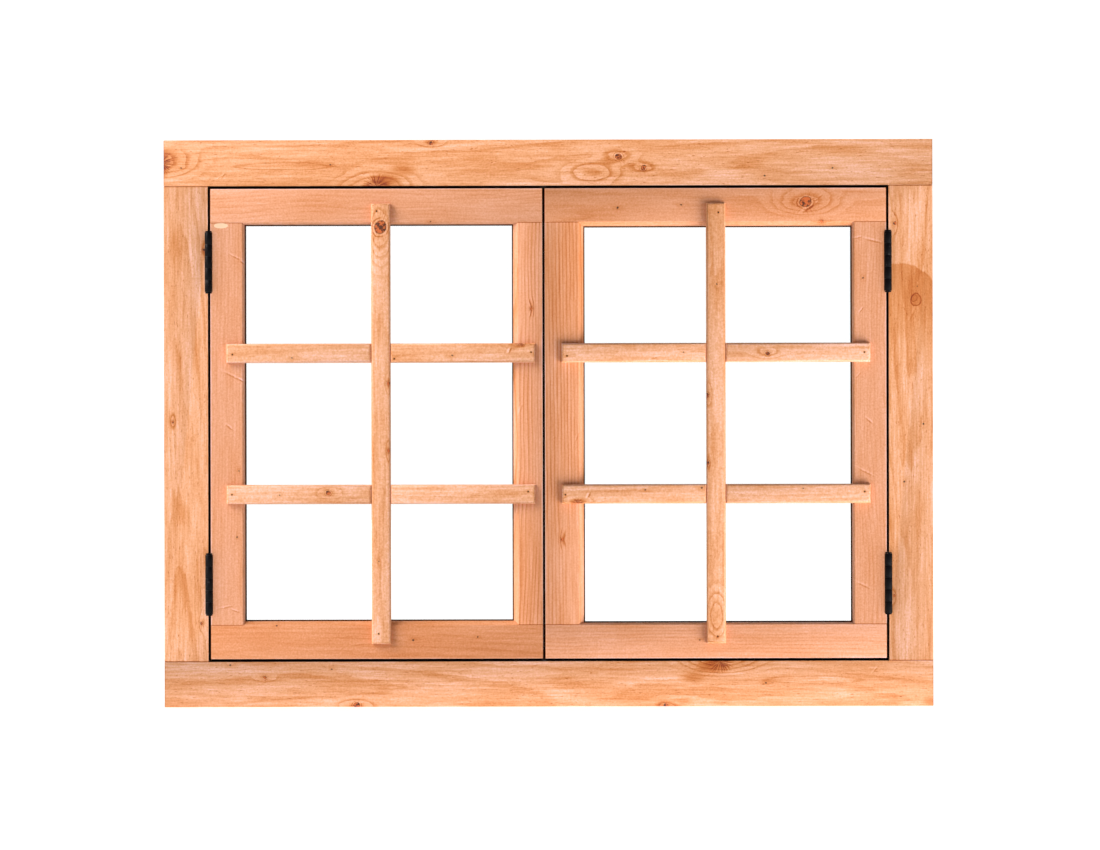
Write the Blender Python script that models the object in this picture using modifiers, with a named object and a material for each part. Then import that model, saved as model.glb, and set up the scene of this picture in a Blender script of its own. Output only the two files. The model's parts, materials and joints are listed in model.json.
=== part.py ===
"""A timber casement window: a frame and two side-hung sashes that open outwards.

Metres, +Z up. The outside of the window faces -Y. The origin is at the middle of the
sill's underside, half way through the depth of the frame.
"""

import math
from collections import namedtuple

import bmesh
import bpy
from mathutils import Matrix, Vector

# Frame
WIDTH = 1.200
HEIGHT = 0.885
FRAME_DEPTH = 0.070
HEAD_FACE = 0.072
SILL_FACE = 0.071
JAMB_FACE = 0.069
STOP_LAP = 0.012  # the stop's reach into the opening, behind the sashes

# Room round the closed sashes
SIDE_GAP = 0.0035
MEETING_GAP = 0.0035
HEAD_GAP = 0.004
SILL_GAP = 0.004
STOP_GAP = 0.003

# Sash timbers
SASH_THICKNESS = 0.040
HINGE_STILE_FACE = 0.0522
LEFT_MEETING_FACE = 0.0457
RIGHT_MEETING_FACE = 0.0605
WIDE_RAIL_FACE = 0.0582
NARROW_RAIL_FACE = 0.055
MEETING_CHAMFER = 0.008
WIDE_CHAMFER = 0.006  # of a wide rail
NARROW_CHAMFER = 0.0025  # of a narrow rail and a hinge stile
LEADING_BEVEL = 0.003  # taken off the back of each meeting edge, so that it clears as it swings
LEADING_BEVEL_START = 0.017  # from the outside face

# Glazing, held in a rebate that is open to the inside
LIP_THICKNESS = 0.016
REBATE = 0.010
GASKET_THICKNESS = 0.0017
GASKET_SHOW = 0.002
GLASS_THICKNESS = 0.004
GLASS_MARGIN = 0.002
BEAD_CHAMFER = 0.004

# Glazing bars, planted on the outside face
BAR_FACE = 0.030
BAR_THICKNESS = 0.010
BAR_CHAMFER = 0.0028
BAR_SHIFT = 0.0041  # of the upright bar from the middle of the light, towards the meeting stiles
BAR_LAP = 0.0303  # of the cross bars over the stiles
WIDE_BAR_LAP = 0.0345  # of the upright bar over a wide rail
NARROW_BAR_LAP = 0.0312  # of the upright bar over a narrow rail
MIDDLE_PANE_EXTRA = 0.0046  # height of the middle pane over that of the other two

# Corner joints
FRAME_TENON = (0.016, 0.012, 0.040)  # thickness, shoulder at each edge, length
SASH_TENON = (0.012, 0.008, 0.030)

# Butt hinges
HINGE_HEIGHT = 0.097
UPPER_HINGE_INSET = 0.0665
LOWER_HINGE_INSET = 0.0685
KNUCKLE_RADIUS = 0.006
KNUCKLES = 5
LEAF_THICKNESS = 0.002
LEAF_WIDTH = 0.030
PIN_RADIUS = 0.003
PIN_HEAD_RADIUS = 0.0052
PIN_HEAD_HEIGHT = 0.002

# Barrel bolts, on the inside of the left sash
BOLT_PLATE = (0.024, 0.110, 0.002)  # width, height, thickness
BOLT_EDGE = 0.020  # from the meeting edge to the middle of the bolt
BOLT_STAND = 0.0105  # from the sash to the rod's axis
BOLT_RADIUS = 0.004
BOLT_TRAVEL = 0.011
BOLT_WALL = 0.003  # of a guide or keep round the rod
GUIDE_HEIGHT = 0.012
GUIDE_SPACING = 0.062
KEEP_HEIGHT = 0.012
KEEP_PLAY = 0.0007
KEEP_FLANGE = 0.008
KNOB_RADIUS = 0.0045
KNOB_LENGTH = 0.016

# Casement fastener, on the inside of the right sash
FASTENER_EDGE = 0.022  # from the meeting edge to the pivot
FASTENER_PLATE = (0.026, 0.062, 0.002)
FASTENER_BOSS = (0.009, 0.006)  # radius, height over the plate
PIVOT_RADIUS = 0.003
PIVOT_HEAD = (0.006, 0.0025)
LEVER_THICKNESS = 0.0055
LEVER_HUB_RADIUS = 0.0095
TONGUE_LENGTH = 0.038
TONGUE_RADIUS = 0.006
HANDLE_LENGTH = 0.088
HANDLE_RADIUS = 0.0075
FASTENER_KEEP = (0.016, 0.040)  # width, height
FASTENER_KEEP_EDGE = 0.003
FASTENER_KEEP_RAMP = 0.012

# Seals
SEAL_EDGE = 0.0005  # from the seal's ring to each edge of the stop
MEETING_SEAL_DEPTH = (0.008, 0.014)  # from the outside face
MEETING_SEAL_CLEARANCE = 0.0008

FIT = 0.0003  # between pieces that touch
OVERCUT = 0.005  # of a cutter past the surface that it opens
WELD = 1e-6
ROUND_STEPS = 24

# Places that follow from the sizes
FRONT = -FRAME_DEPTH / 2
BACK = FRAME_DEPTH / 2
SASH_BACK = FRONT + SASH_THICKNESS
STOP_FRONT = SASH_BACK + STOP_GAP
LIP_BACK = FRONT + LIP_THICKNESS
GASKET_FRONT = LIP_BACK + FIT
GLASS_FRONT = GASKET_FRONT + GASKET_THICKNESS + FIT
BEAD_FRONT = GLASS_FRONT + GLASS_THICKNESS + FIT
HALF_OPENING = WIDTH / 2 - JAMB_FACE
OPENING_TOP = HEIGHT - HEAD_FACE
SASH_BOTTOM = SILL_FACE + SILL_GAP
SASH_TOP = OPENING_TOP - HEAD_GAP
SASH_MIDDLE = (SASH_BOTTOM + SASH_TOP) / 2
TIMBER_ACROSS = 2 * HINGE_STILE_FACE + LEFT_MEETING_FACE + RIGHT_MEETING_FACE
LIGHT_WIDTH = HALF_OPENING - SIDE_GAP - (MEETING_GAP + TIMBER_ACROSS) / 2
HARDWARE_FRONT = SASH_BACK + FIT
HINGE_AXIS_Y = FRONT - KNUCKLE_RADIUS
BOLT_Y = SASH_BACK + BOLT_STAND
LEVER_FRONT = HARDWARE_FRONT + FASTENER_PLATE[2] + FASTENER_BOSS[1] + FIT

X, Y, Z = Vector((1, 0, 0)), Vector((0, 1, 0)), Vector((0, 0, 1))
LEFT, RIGHT = -1, 1

# name: colour, roughness, metallic, transmission
FINISHES = {
    "frame_timber": ((0.86, 0.42, 0.20), 0.55, 0.0, 0.0),
    "sash_timber": ((0.80, 0.37, 0.19), 0.55, 0.0, 0.0),
    "bar_timber": ((0.90, 0.49, 0.27), 0.55, 0.0, 0.0),
    "black_steel": ((0.015, 0.014, 0.016), 0.42, 0.6, 0.0),
    "rubber": ((0.012, 0.012, 0.012), 0.75, 0.0, 0.0),
    "clear_glass": ((0.98, 1.0, 0.99), 0.02, 0.0, 1.0),
}

Rail = namedtuple("Rail", "face chamfer bar_lap")
WIDE_RAIL = Rail(WIDE_RAIL_FACE, WIDE_CHAMFER, WIDE_BAR_LAP)
NARROW_RAIL = Rail(NARROW_RAIL_FACE, NARROW_CHAMFER, NARROW_BAR_LAP)


class Sash:
    """Where one sash and its edges lie. Its side is that of its hinges."""

    def __init__(self, name, side, meeting_face, top, bottom):
        self.name, self.side, self.meeting_face = name, side, meeting_face
        self.top, self.bottom = top, bottom
        self.width = HINGE_STILE_FACE + LIGHT_WIDTH + meeting_face
        self.hinge_x = side * (HALF_OPENING - SIDE_GAP)
        self.meeting_x = self.hinge_x - side * self.width
        self.axis_x = side * (HALF_OPENING - SIDE_GAP / 2)
        self.sight_hinge_x = self.hinge_x - side * HINGE_STILE_FACE
        self.sight_meeting_x = self.meeting_x + side * meeting_face
        self.sight_bottom = SASH_BOTTOM + bottom.face
        self.sight_top = SASH_TOP - top.face
        self.bar_x = (self.sight_hinge_x + self.sight_meeting_x) / 2 - side * BAR_SHIFT


LEFT_SASH = Sash("left", LEFT, LEFT_MEETING_FACE, top=NARROW_RAIL, bottom=WIDE_RAIL)
RIGHT_SASH = Sash("right", RIGHT, RIGHT_MEETING_FACE, top=WIDE_RAIL, bottom=NARROW_RAIL)


# Making and joining solids


def clear_scene():
    for obj in list(bpy.data.objects):
        bpy.data.objects.remove(obj, do_unlink=True)


def new_collection(name):
    group = bpy.data.collections.new(name)
    bpy.context.scene.collection.children.link(group)
    return group


def make_object(name, solid, group):
    """Turns a bmesh into an object, and frees the bmesh."""
    bmesh.ops.recalc_face_normals(solid, faces=solid.faces)
    mesh = bpy.data.meshes.new(name)
    solid.to_mesh(mesh)
    solid.free()
    obj = bpy.data.objects.new(name, mesh)
    group.objects.link(obj)
    if group is cutters:
        obj.hide_render = True
        obj.display_type = "WIRE"
    return obj


def box(name, corner, opposite, group, chamfered_face=None, chamfer=0.0):
    """A box between two corners. The edges of the face that looks along chamfered_face may be chamfered."""
    low = Vector(map(min, corner, opposite))
    high = Vector(map(max, corner, opposite))
    solid = bmesh.new()
    place = Matrix.Translation((low + high) / 2) @ Matrix.Diagonal((high - low).to_4d())
    bmesh.ops.create_cube(solid, size=1, matrix=place)
    if chamfer:
        solid.normal_update()
        face = max(solid.faces, key=lambda f: f.normal.dot(chamfered_face))
        bmesh.ops.bevel(solid, geom=face.edges[:], offset=chamfer, segments=1, affect="EDGES")
    return make_object(name, solid, group)


def cylinder(name, radius, start, end, group):
    start, end = Vector(start), Vector(end)
    turn = Z.rotation_difference(end - start).to_matrix().to_4x4()
    solid = bmesh.new()
    bmesh.ops.create_cone(
        solid, cap_ends=True, segments=ROUND_STEPS, radius1=radius, radius2=radius,
        depth=(end - start).length, matrix=Matrix.Translation((start + end) / 2) @ turn,
    )
    return make_object(name, solid, group)


def prism(name, outline, origin, inward, along, length, group, mitred=False, second=Y):
    """A moulding: an outline in inward and a second direction, run along for a length from origin.

    With mitred, both ends are cut at 45 degrees, shorter on the inward side.
    """
    curve = bpy.data.curves.new(name, "CURVE")
    curve.dimensions = "2D"
    curve.fill_mode = "BOTH"
    curve.extrude = length / 2
    spline = curve.splines.new("POLY")
    spline.points.add(len(outline) - 1)
    for point, place in zip(spline.points, outline):
        point.co = (*place, 0, 1)
    spline.use_cyclic_u = True
    guide = bpy.data.objects.new(name, curve)
    bpy.context.scene.collection.objects.link(guide)
    graph = bpy.context.evaluated_depsgraph_get()
    mesh = bpy.data.meshes.new_from_object(guide.evaluated_get(graph), depsgraph=graph)
    bpy.data.objects.remove(guide)
    solid = bmesh.new()
    solid.from_mesh(mesh)
    bpy.data.meshes.remove(mesh)
    bmesh.ops.remove_doubles(solid, verts=solid.verts, dist=WELD)
    bmesh.ops.recalc_face_normals(solid, faces=solid.faces)
    if mitred:
        for end in (-1, 1):
            plane = Vector((0, 0, end * (length / 2 - FIT)))
            cut_off(solid, plane, Vector((1, 0, end)))
    place = Matrix((inward, second, along)).transposed().to_4x4()
    place.translation = Vector(origin) + along * length / 2
    bmesh.ops.transform(solid, matrix=place, verts=solid.verts)
    return make_object(name, solid, group)


def cut_off(solid, point, normal):
    """Cuts a closed bmesh with a plane, and closes the side that stays."""
    everything = solid.verts[:] + solid.edges[:] + solid.faces[:]
    cut = bmesh.ops.bisect_plane(
        solid, geom=everything, dist=WELD, plane_co=point, plane_no=normal, clear_outer=True
    )
    edges = [part for part in cut["geom_cut"] if isinstance(part, bmesh.types.BMEdge)]
    bmesh.ops.edgenet_fill(solid, edges=edges)


def turned(name, profile, axis_point, group):
    """A turned piece about a vertical axis. The profile of (radius, height) runs from the top down."""
    mesh = bpy.data.meshes.new(name)
    solid = bmesh.new()
    verts = [solid.verts.new((radius, 0, height)) for radius, height in profile]
    for upper, lower in zip(verts, verts[1:]):
        solid.edges.new((upper, lower))
    solid.to_mesh(mesh)
    solid.free()
    obj = bpy.data.objects.new(name, mesh)
    group.objects.link(obj)
    obj.location = axis_point
    screw = obj.modifiers.new("turn", "SCREW")
    screw.steps = screw.render_steps = ROUND_STEPS
    screw.use_merge_vertices = True
    screw.merge_threshold = 1e-5
    return obj


def change(obj, other, operation):
    boolean = obj.modifiers.new(operation.lower(), "BOOLEAN")
    boolean.operation = operation
    boolean.solver = "EXACT"
    boolean.object = other


def cut(obj, *others):
    for other in others:
        change(obj, other, "DIFFERENCE")


def join(obj, *others):
    for other in others:
        change(obj, other, "UNION")


def finish(obj, name):
    colour, roughness, metallic, transmission = FINISHES[name]
    material = bpy.data.materials.new(f"{obj.name}_{name}")
    material.use_nodes = True
    shader = material.node_tree.nodes["Principled BSDF"]
    shader.inputs["Base Color"].default_value = (*colour, 1)
    shader.inputs["Roughness"].default_value = roughness
    shader.inputs["Metallic"].default_value = metallic
    shader.inputs["Transmission Weight"].default_value = transmission
    material.diffuse_color = (*colour, 1)
    obj.data.materials.append(material)
    return obj


def shade_round(*objects):
    for obj in objects:
        obj.data.shade_smooth()
        obj.data.set_sharp_from_angle(angle=math.radians(35))


def axis_empty(name, location, parent=None):
    """An empty on a joint's axis, which carries the pieces that move about it."""
    empty = bpy.data.objects.new(name, None)
    parts.objects.link(empty)
    empty.empty_display_size = 0.03
    empty.parent = parent
    empty.location = Vector(location) - (parent.location if parent else Vector())
    return empty


def world_place(empty):
    place = Vector(empty.location)
    while empty.parent:
        empty = empty.parent
        place += empty.location
    return place


def hang(empty, pieces):
    """Puts each piece's origin on the empty's axis and parents the piece to it."""
    axis = world_place(empty)
    for obj in pieces:
        offset = axis - obj.location
        obj.data.transform(Matrix.Translation(-offset))
        obj.location = (0, 0, 0)
        obj.parent = empty


# Frame


def frame_outline(face, grow=0.0):
    return [
        (-grow, FRONT - grow),
        (face + grow, FRONT - grow),
        (face + grow, STOP_FRONT - grow),
        (face + STOP_LAP + grow, STOP_FRONT - grow),
        (face + STOP_LAP + grow, BACK + grow),
        (-grow, BACK + grow),
    ]


def tenon_box(name, x_edges, z_start, z_end, y_middle, thickness, group, grow=0.0):
    low, high = sorted(x_edges)
    reach = math.copysign(grow, z_end - z_start)
    return box(
        name,
        (low - grow, y_middle - thickness / 2 - grow, z_start),
        (high + grow, y_middle + thickness / 2 + grow, z_end + reach),
        group,
    )


def make_frame():
    """Head and sill run right across. The jambs stand between them on stub tenons."""
    ends = ((-WIDTH / 2, -Z, HEIGHT, HEAD_FACE, "head"), (-WIDTH / 2, Z, 0, SILL_FACE, "sill"))
    across = {}
    scribes = []
    for x, inward, z, face, name in ends:
        across[name] = prism(name, frame_outline(face), (x, 0, z), inward, X, WIDTH, parts)
        scribes.append(
            prism(
                f"{name}_scribe", frame_outline(face, FIT), (x - OVERCUT, 0, z),
                inward, X, WIDTH + 2 * OVERCUT, cutters,
            )
        )
        finish(across[name], "frame_timber")
    thickness, shoulder, length = FRAME_TENON
    jambs = {}
    for side, name in ((LEFT, "left_jamb"), (RIGHT, "right_jamb")):
        outer = side * WIDTH / 2
        jamb = prism(
            name, frame_outline(JAMB_FACE), (outer, 0, SILL_FACE),
            -side * X, Z, OPENING_TOP - SILL_FACE, parts,
        )
        cut(jamb, *scribes)
        x_edges = (outer - side * shoulder, outer - side * (JAMB_FACE - shoulder))
        middle = (FRONT + STOP_FRONT) / 2
        for rail, shoulder_z, up in (("head", OPENING_TOP, 1), ("sill", SILL_FACE, -1)):
            start, end = shoulder_z - up * STOP_LAP * 2, shoulder_z + up * length
            tenon = tenon_box(f"{name}_{rail}_tenon", x_edges, start, end, middle, thickness, cutters)
            mortise = tenon_box(
                f"{name}_{rail}_mortise", x_edges, start, end, middle, thickness, cutters, FIT
            )
            join(jamb, tenon)
            cut(across[rail], mortise)
        jambs[side] = finish(jamb, "frame_timber")
    return jambs


def ring(name, outer, inner, front, back, group):
    """A flat rectangular ring. outer and inner are (x, z, x, z) rectangles."""
    body = box(name, (outer[0], front, outer[1]), (outer[2], back, outer[3]), group)
    hole = box(
        f"{name}_hole", (inner[0], front - OVERCUT, inner[1]), (inner[2], back + OVERCUT, inner[3]), cutters
    )
    cut(body, hole)
    return body


def make_frame_seal():
    """One rubber ring on the face of the stop, which the sashes close against."""
    near, far = SEAL_EDGE, STOP_LAP - SEAL_EDGE
    outer, inner = (
        (-HALF_OPENING + d, SILL_FACE + d, HALF_OPENING - d, OPENING_TOP - d) for d in (near, far)
    )
    seal = ring("frame_seal", outer, inner, SASH_BACK + FIT, STOP_FRONT - FIT, parts)
    return finish(seal, "rubber")


# Sashes


def member_outline(face, chamfer, grow=0.0):
    """A sash timber: chamfered at the sight edge outside, rebated for the glass inside."""
    corner = grow * (math.sqrt(2) - 1)
    return [
        (-grow, FRONT - grow),
        (face - chamfer + corner, FRONT - grow),
        (face + grow, FRONT + chamfer - corner),
        (face + grow, LIP_BACK + grow),
        (face - REBATE + grow, LIP_BACK + grow),
        (face - REBATE + grow, SASH_BACK + grow),
        (-grow, SASH_BACK + grow),
    ]


def leading_bevel(sash):
    """The wedge that is taken off the back of a sash's meeting edge."""
    slope = Vector((LEADING_BEVEL, SASH_THICKNESS - LEADING_BEVEL_START))
    start = Vector((0, FRONT + LEADING_BEVEL_START)) - slope * 0.3
    end = Vector((LEADING_BEVEL, SASH_BACK)) + slope * 0.3
    outline = [start[:], end[:], (-OVERCUT, end.y), (-OVERCUT, start.y)]
    return prism(
        f"{sash.name}_leading_bevel", outline, (sash.meeting_x, 0, SASH_BOTTOM - OVERCUT),
        sash.side * X, Z, SASH_TOP - SASH_BOTTOM + 2 * OVERCUT, cutters,
    )


def make_sash_timbers(sash):
    """Rails run right across the sash, and the stiles are scribed over them on stub tenons."""
    name, side = sash.name, sash.side
    left_x = min(sash.hinge_x, sash.meeting_x)
    rails = {}
    scribes = []
    places = (("top", sash.top, SASH_TOP, -Z), ("bottom", sash.bottom, SASH_BOTTOM, Z))
    for level, rail, z, inward in places:
        piece = prism(
            f"{name}_{level}_rail", member_outline(rail.face, rail.chamfer), (left_x, 0, z),
            inward, X, sash.width, parts,
        )
        scribes.append(
            prism(
                f"{name}_{level}_scribe", member_outline(rail.face, rail.chamfer, FIT),
                (left_x - OVERCUT, 0, z), inward, X, sash.width + 2 * OVERCUT, cutters,
            )
        )
        rails[level] = finish(piece, "sash_timber")
    foot = SASH_BOTTOM + sash.bottom.face - max(REBATE, sash.bottom.chamfer)
    height = SASH_TOP - sash.top.face + max(REBATE, sash.top.chamfer) - foot
    thickness, shoulder, length = SASH_TENON
    tenon_y = (LIP_BACK + SASH_BACK) / 2
    stiles = {}
    edges = (
        ("hinge", sash.hinge_x, -side, HINGE_STILE_FACE, NARROW_CHAMFER),
        ("meeting", sash.meeting_x, side, sash.meeting_face, MEETING_CHAMFER),
    )
    for kind, x, into, face, chamfer in edges:
        stile = prism(
            f"{name}_{kind}_stile", member_outline(face, chamfer), (x, 0, foot), into * X, Z, height, parts
        )
        cut(stile, *scribes)
        x_edges = (x + into * shoulder, x + into * (face - REBATE - shoulder))
        for level, rail, z, inward in places:
            up = -inward.z
            shoulder_z = z - up * (rail.face - REBATE)
            ends = (shoulder_z - up * length, shoulder_z + up * length)
            joint = (f"{name}_{kind}_{level}", x_edges, *ends, tenon_y, thickness, cutters)
            join(stile, tenon_box(f"{joint[0]}_tenon", *joint[1:]))
            cut(rails[level], tenon_box(f"{joint[0]}_mortise", *joint[1:], FIT))
        stiles[kind] = finish(stile, "sash_timber")
    bevel = leading_bevel(sash)
    for piece in (*rails.values(), stiles["meeting"]):
        cut(piece, bevel)
    return rails, stiles


def bead_outline():
    inner = REBATE - FIT
    return [
        (FIT, BEAD_FRONT),
        (inner, BEAD_FRONT),
        (inner, SASH_BACK - BEAD_CHAMFER),
        (inner - BEAD_CHAMFER, SASH_BACK),
        (FIT, SASH_BACK),
    ]


def make_glazing(sash):
    """Gasket, glass and four mitred beads, from the lip to the inside."""
    name = sash.name
    sight = (
        min(sash.sight_hinge_x, sash.sight_meeting_x), sash.sight_bottom,
        max(sash.sight_hinge_x, sash.sight_meeting_x), sash.sight_top,
    )

    def grown(by):
        return (sight[0] - by, sight[1] - by, sight[2] + by, sight[3] + by)

    gasket = ring(
        f"{name}_glazing_gasket", grown(REBATE - FIT), grown(-GASKET_SHOW),
        GASKET_FRONT, GASKET_FRONT + GASKET_THICKNESS, parts,
    )
    pane = grown(REBATE - GLASS_MARGIN)
    glass = box(
        f"{name}_glass", (pane[0], GLASS_FRONT, pane[1]),
        (pane[2], GLASS_FRONT + GLASS_THICKNESS, pane[3]), parts,
    )
    x0, z0, x1, z1 = grown(REBATE)
    hinge_x, meeting_x = (x0, x1) if sash.side == LEFT else (x1, x0)
    runs = (
        ("top", (x0, 0, z1), -Z, X, x1 - x0),
        ("bottom", (x0, 0, z0), Z, X, x1 - x0),
        ("hinge", (hinge_x, 0, z0), -sash.side * X, Z, z1 - z0),
        ("meeting", (meeting_x, 0, z0), sash.side * X, Z, z1 - z0),
    )
    beads = [
        finish(prism(f"{name}_{place}_bead", bead_outline(), *run, parts, mitred=True), "sash_timber")
        for place, *run in runs
    ]
    return [finish(gasket, "rubber"), finish(glass, "clear_glass"), *beads]


def make_bars(sash):
    """One upright bar and, at each side of it, two short cross bars, all with a chamfered outside face."""
    front, back = FRONT - FIT - BAR_THICKNESS, FRONT - FIT
    half = BAR_FACE / 2

    def bar(name, x0, z0, x1, z1):
        piece = box(name, (x0, front, z0), (x1, back, z1), parts, -Y, BAR_CHAMFER)
        return finish(piece, "bar_timber")

    x = sash.bar_x
    bars = [
        bar(
            f"{sash.name}_upright_bar", x - half, sash.sight_bottom - sash.bottom.bar_lap,
            x + half, sash.sight_top + sash.top.bar_lap,
        )
    ]
    light_height = sash.sight_top - sash.sight_bottom
    middle_pane = (light_height - 2 * BAR_FACE + 2 * MIDDLE_PANE_EXTRA) / 3
    rise = (middle_pane + BAR_FACE) / 2
    reach = LIGHT_WIDTH / 2 + BAR_LAP
    for level, up in (("upper", 1), ("lower", -1)):
        z = SASH_MIDDLE + up * rise
        for place, to in (("hinge", sash.side), ("meeting", -sash.side)):
            ends = (x + to * (half + FIT), x + to * reach)
            bars.append(bar(f"{sash.name}_{level}_{place}_bar", ends[0], z - half, ends[1], z + half))
    return bars


def make_meeting_seal(sash):
    """A draught strip on the left sash's meeting edge."""
    near, far = (FRONT + depth for depth in MEETING_SEAL_DEPTH)
    inset = SILL_GAP
    seal = box(
        "meeting_seal",
        (sash.meeting_x + FIT, near, SASH_BOTTOM + inset),
        (sash.meeting_x + MEETING_GAP - MEETING_SEAL_CLEARANCE, far, SASH_TOP - inset),
        parts,
    )
    return finish(seal, "rubber")


# Hardware


def hinge_leaf(name, axis, side, bottom, height, knuckles):
    """One leaf: its plate, the knuckles that are its own, and the hole for the pin."""
    near = FIT / 2
    plate_x = (axis.x + side * near, axis.x + side * (near + LEAF_THICKNESS))
    pitch = height / KNUCKLES
    leaf = box(
        name, (plate_x[0], FRONT + FIT, bottom), (plate_x[1], FRONT + LEAF_WIDTH, bottom + height), parts
    )
    for index in knuckles:
        low = bottom + index * pitch + FIT / 2
        high = bottom + (index + 1) * pitch - FIT / 2
        wrap = box(
            f"{name}_wrap_{index}", (plate_x[0], axis.y + PIN_RADIUS * 1.4, low),
            (plate_x[1], FRONT + LEAF_THICKNESS, high), cutters,
        )
        barrel = cylinder(
            f"{name}_barrel_{index}", KNUCKLE_RADIUS, (axis.x, axis.y, low), (axis.x, axis.y, high), cutters
        )
        join(leaf, wrap, barrel)
    bore = cylinder(
        f"{name}_bore", PIN_RADIUS + FIT, (axis.x, axis.y, bottom - OVERCUT),
        (axis.x, axis.y, bottom + height + OVERCUT), cutters,
    )
    cut(leaf, bore)
    shade_round(leaf)
    return finish(leaf, "black_steel")


def hinge_pin(name, axis, bottom, height):
    """A loose pin with a flat head at each end."""
    half = height / 2
    rim = PIN_HEAD_HEIGHT * 0.3
    upper = [
        (0, half + FIT + PIN_HEAD_HEIGHT),
        (PIN_HEAD_RADIUS - rim, half + FIT + PIN_HEAD_HEIGHT),
        (PIN_HEAD_RADIUS, half + FIT + PIN_HEAD_HEIGHT - rim),
        (PIN_HEAD_RADIUS, half + FIT),
        (PIN_RADIUS, half + FIT),
    ]
    profile = upper + [(radius, -z) for radius, z in reversed(upper)]
    pin = turned(name, profile, (axis.x, axis.y, bottom + half), parts)
    return finish(pin, "black_steel")


def make_hinges(sash, jamb, sash_timbers):
    """Two butt hinges, let into the jamb and the sash, with their knuckles standing outside.

    Returns the leaves that the sash carries.
    """
    side = sash.side
    axis = Vector((sash.axis_x, HINGE_AXIS_Y, 0))
    height = HINGE_HEIGHT - 2 * (PIN_HEAD_HEIGHT + FIT)
    sash_leaves = []
    levels = (
        ("upper", SASH_TOP - UPPER_HINGE_INSET - HINGE_HEIGHT),
        ("lower", SASH_BOTTOM + LOWER_HINGE_INSET),
    )
    for level, foot in levels:
        bottom = foot + PIN_HEAD_HEIGHT + FIT
        name = f"{sash.name}_{level}_hinge"
        hinge_leaf(f"{name}_frame_leaf", axis, side, bottom, height, range(0, KNUCKLES, 2))
        sash_leaves.append(
            hinge_leaf(f"{name}_sash_leaf", axis, -side, bottom, height, range(1, KNUCKLES, 2))
        )
        hinge_pin(f"{name}_pin", axis, bottom, height)
        depth = FIT / 2 + LEAF_THICKNESS + FIT
        for where, to, timbers in (("jamb", side, (jamb,)), ("sash", -side, sash_timbers)):
            recess = box(
                f"{name}_{where}_recess",
                (axis.x, FRONT - OVERCUT, bottom - FIT),
                (axis.x + to * depth, FRONT + LEAF_WIDTH + FIT, bottom + height + FIT),
                cutters,
            )
            for timber in timbers:
                cut(timber, recess)
    return sash_leaves


def make_bolt(level, sash):
    """A barrel bolt that shoots up or down into a keep under the stop, drawn back at rest."""
    up = 1 if level == "top" else -1
    x = sash.meeting_x + sash.side * BOLT_EDGE
    stop_z = OPENING_TOP - STOP_LAP if up > 0 else SILL_FACE + STOP_LAP
    keep_end = stop_z - up * (FIT + KEEP_HEIGHT)
    plate_end = keep_end - up * FIT
    width, height, thickness = BOLT_PLATE
    plate = box(
        f"{level}_bolt_plate", (x - width / 2, HARDWARE_FRONT, plate_end - up * height),
        (x + width / 2, HARDWARE_FRONT + thickness, plate_end), parts,
    )
    hole = BOLT_RADIUS + FIT
    for index in range(2):
        z = plate_end - up * (GUIDE_HEIGHT + index * GUIDE_SPACING)
        guide = box(
            f"{level}_bolt_guide_{index}",
            (x - hole - BOLT_WALL, HARDWARE_FRONT + thickness / 2, z - up * GUIDE_HEIGHT),
            (x + hole + BOLT_WALL, BOLT_Y + hole + BOLT_WALL, z), cutters,
        )
        join(plate, guide)
    tip = keep_end - up * FIT
    tail = plate_end - up * (GUIDE_HEIGHT * 2 + GUIDE_SPACING + BOLT_TRAVEL)
    bore = cylinder(
        f"{level}_bolt_bore", hole, (x, BOLT_Y, plate_end + up * OVERCUT), (x, BOLT_Y, tail), cutters
    )
    cut(plate, bore)
    rod = cylinder(f"{level}_bolt_rod", BOLT_RADIUS, (x, BOLT_Y, tail), (x, BOLT_Y, tip), parts)
    knob_z = plate_end - up * (GUIDE_HEIGHT + GUIDE_SPACING - KNOB_RADIUS - 4 * FIT)
    knob = cylinder(
        f"{level}_bolt_knob", KNOB_RADIUS, (x, BOLT_Y, knob_z), (x, BOLT_Y + KNOB_LENGTH, knob_z), cutters
    )
    join(rod, knob)
    socket = BOLT_RADIUS + KEEP_PLAY
    wall = socket + BOLT_WALL
    keep = box(
        f"{level}_bolt_keep", (x - wall, STOP_FRONT + FIT, keep_end),
        (x + wall, BOLT_Y + wall, stop_z - up * FIT), parts,
    )
    flange = box(
        f"{level}_bolt_keep_flange", (x - wall - KEEP_FLANGE, STOP_FRONT + FIT, stop_z - up * (FIT + thickness)),
        (x + wall + KEEP_FLANGE, BOLT_Y + wall, stop_z - up * FIT), cutters,
    )
    opening = box(
        f"{level}_bolt_socket", (x - socket, BOLT_Y - socket, keep_end - up * OVERCUT),
        (x + socket, BOLT_Y + socket, stop_z + up * OVERCUT), cutters,
    )
    join(keep, flange)
    cut(keep, opening)
    shade_round(rod, plate)
    for piece in (plate, rod, keep):
        finish(piece, "black_steel")
    return plate, rod, Vector((x, BOLT_Y, tip))


def arc(centre, radius, start, end, steps):
    turns = (math.radians(start + (end - start) * i / steps) for i in range(steps + 1))
    return [(centre[0] + radius * math.cos(a), centre[1] + radius * math.sin(a)) for a in turns]


def lever_outline():
    """A hub with a short tongue above it and a long handle below, about the pivot at (0, 0)."""
    hub_lean = 25
    return [
        *arc((0, TONGUE_LENGTH - TONGUE_RADIUS), TONGUE_RADIUS, 0, 180, 8),
        *arc((0, 0), LEVER_HUB_RADIUS, 180 - hub_lean, 180 + hub_lean, 4),
        *arc((0, HANDLE_RADIUS - HANDLE_LENGTH), HANDLE_RADIUS, 180, 360, 8),
        *arc((0, 0), LEVER_HUB_RADIUS, -hub_lean, hub_lean, 4),
    ]


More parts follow.
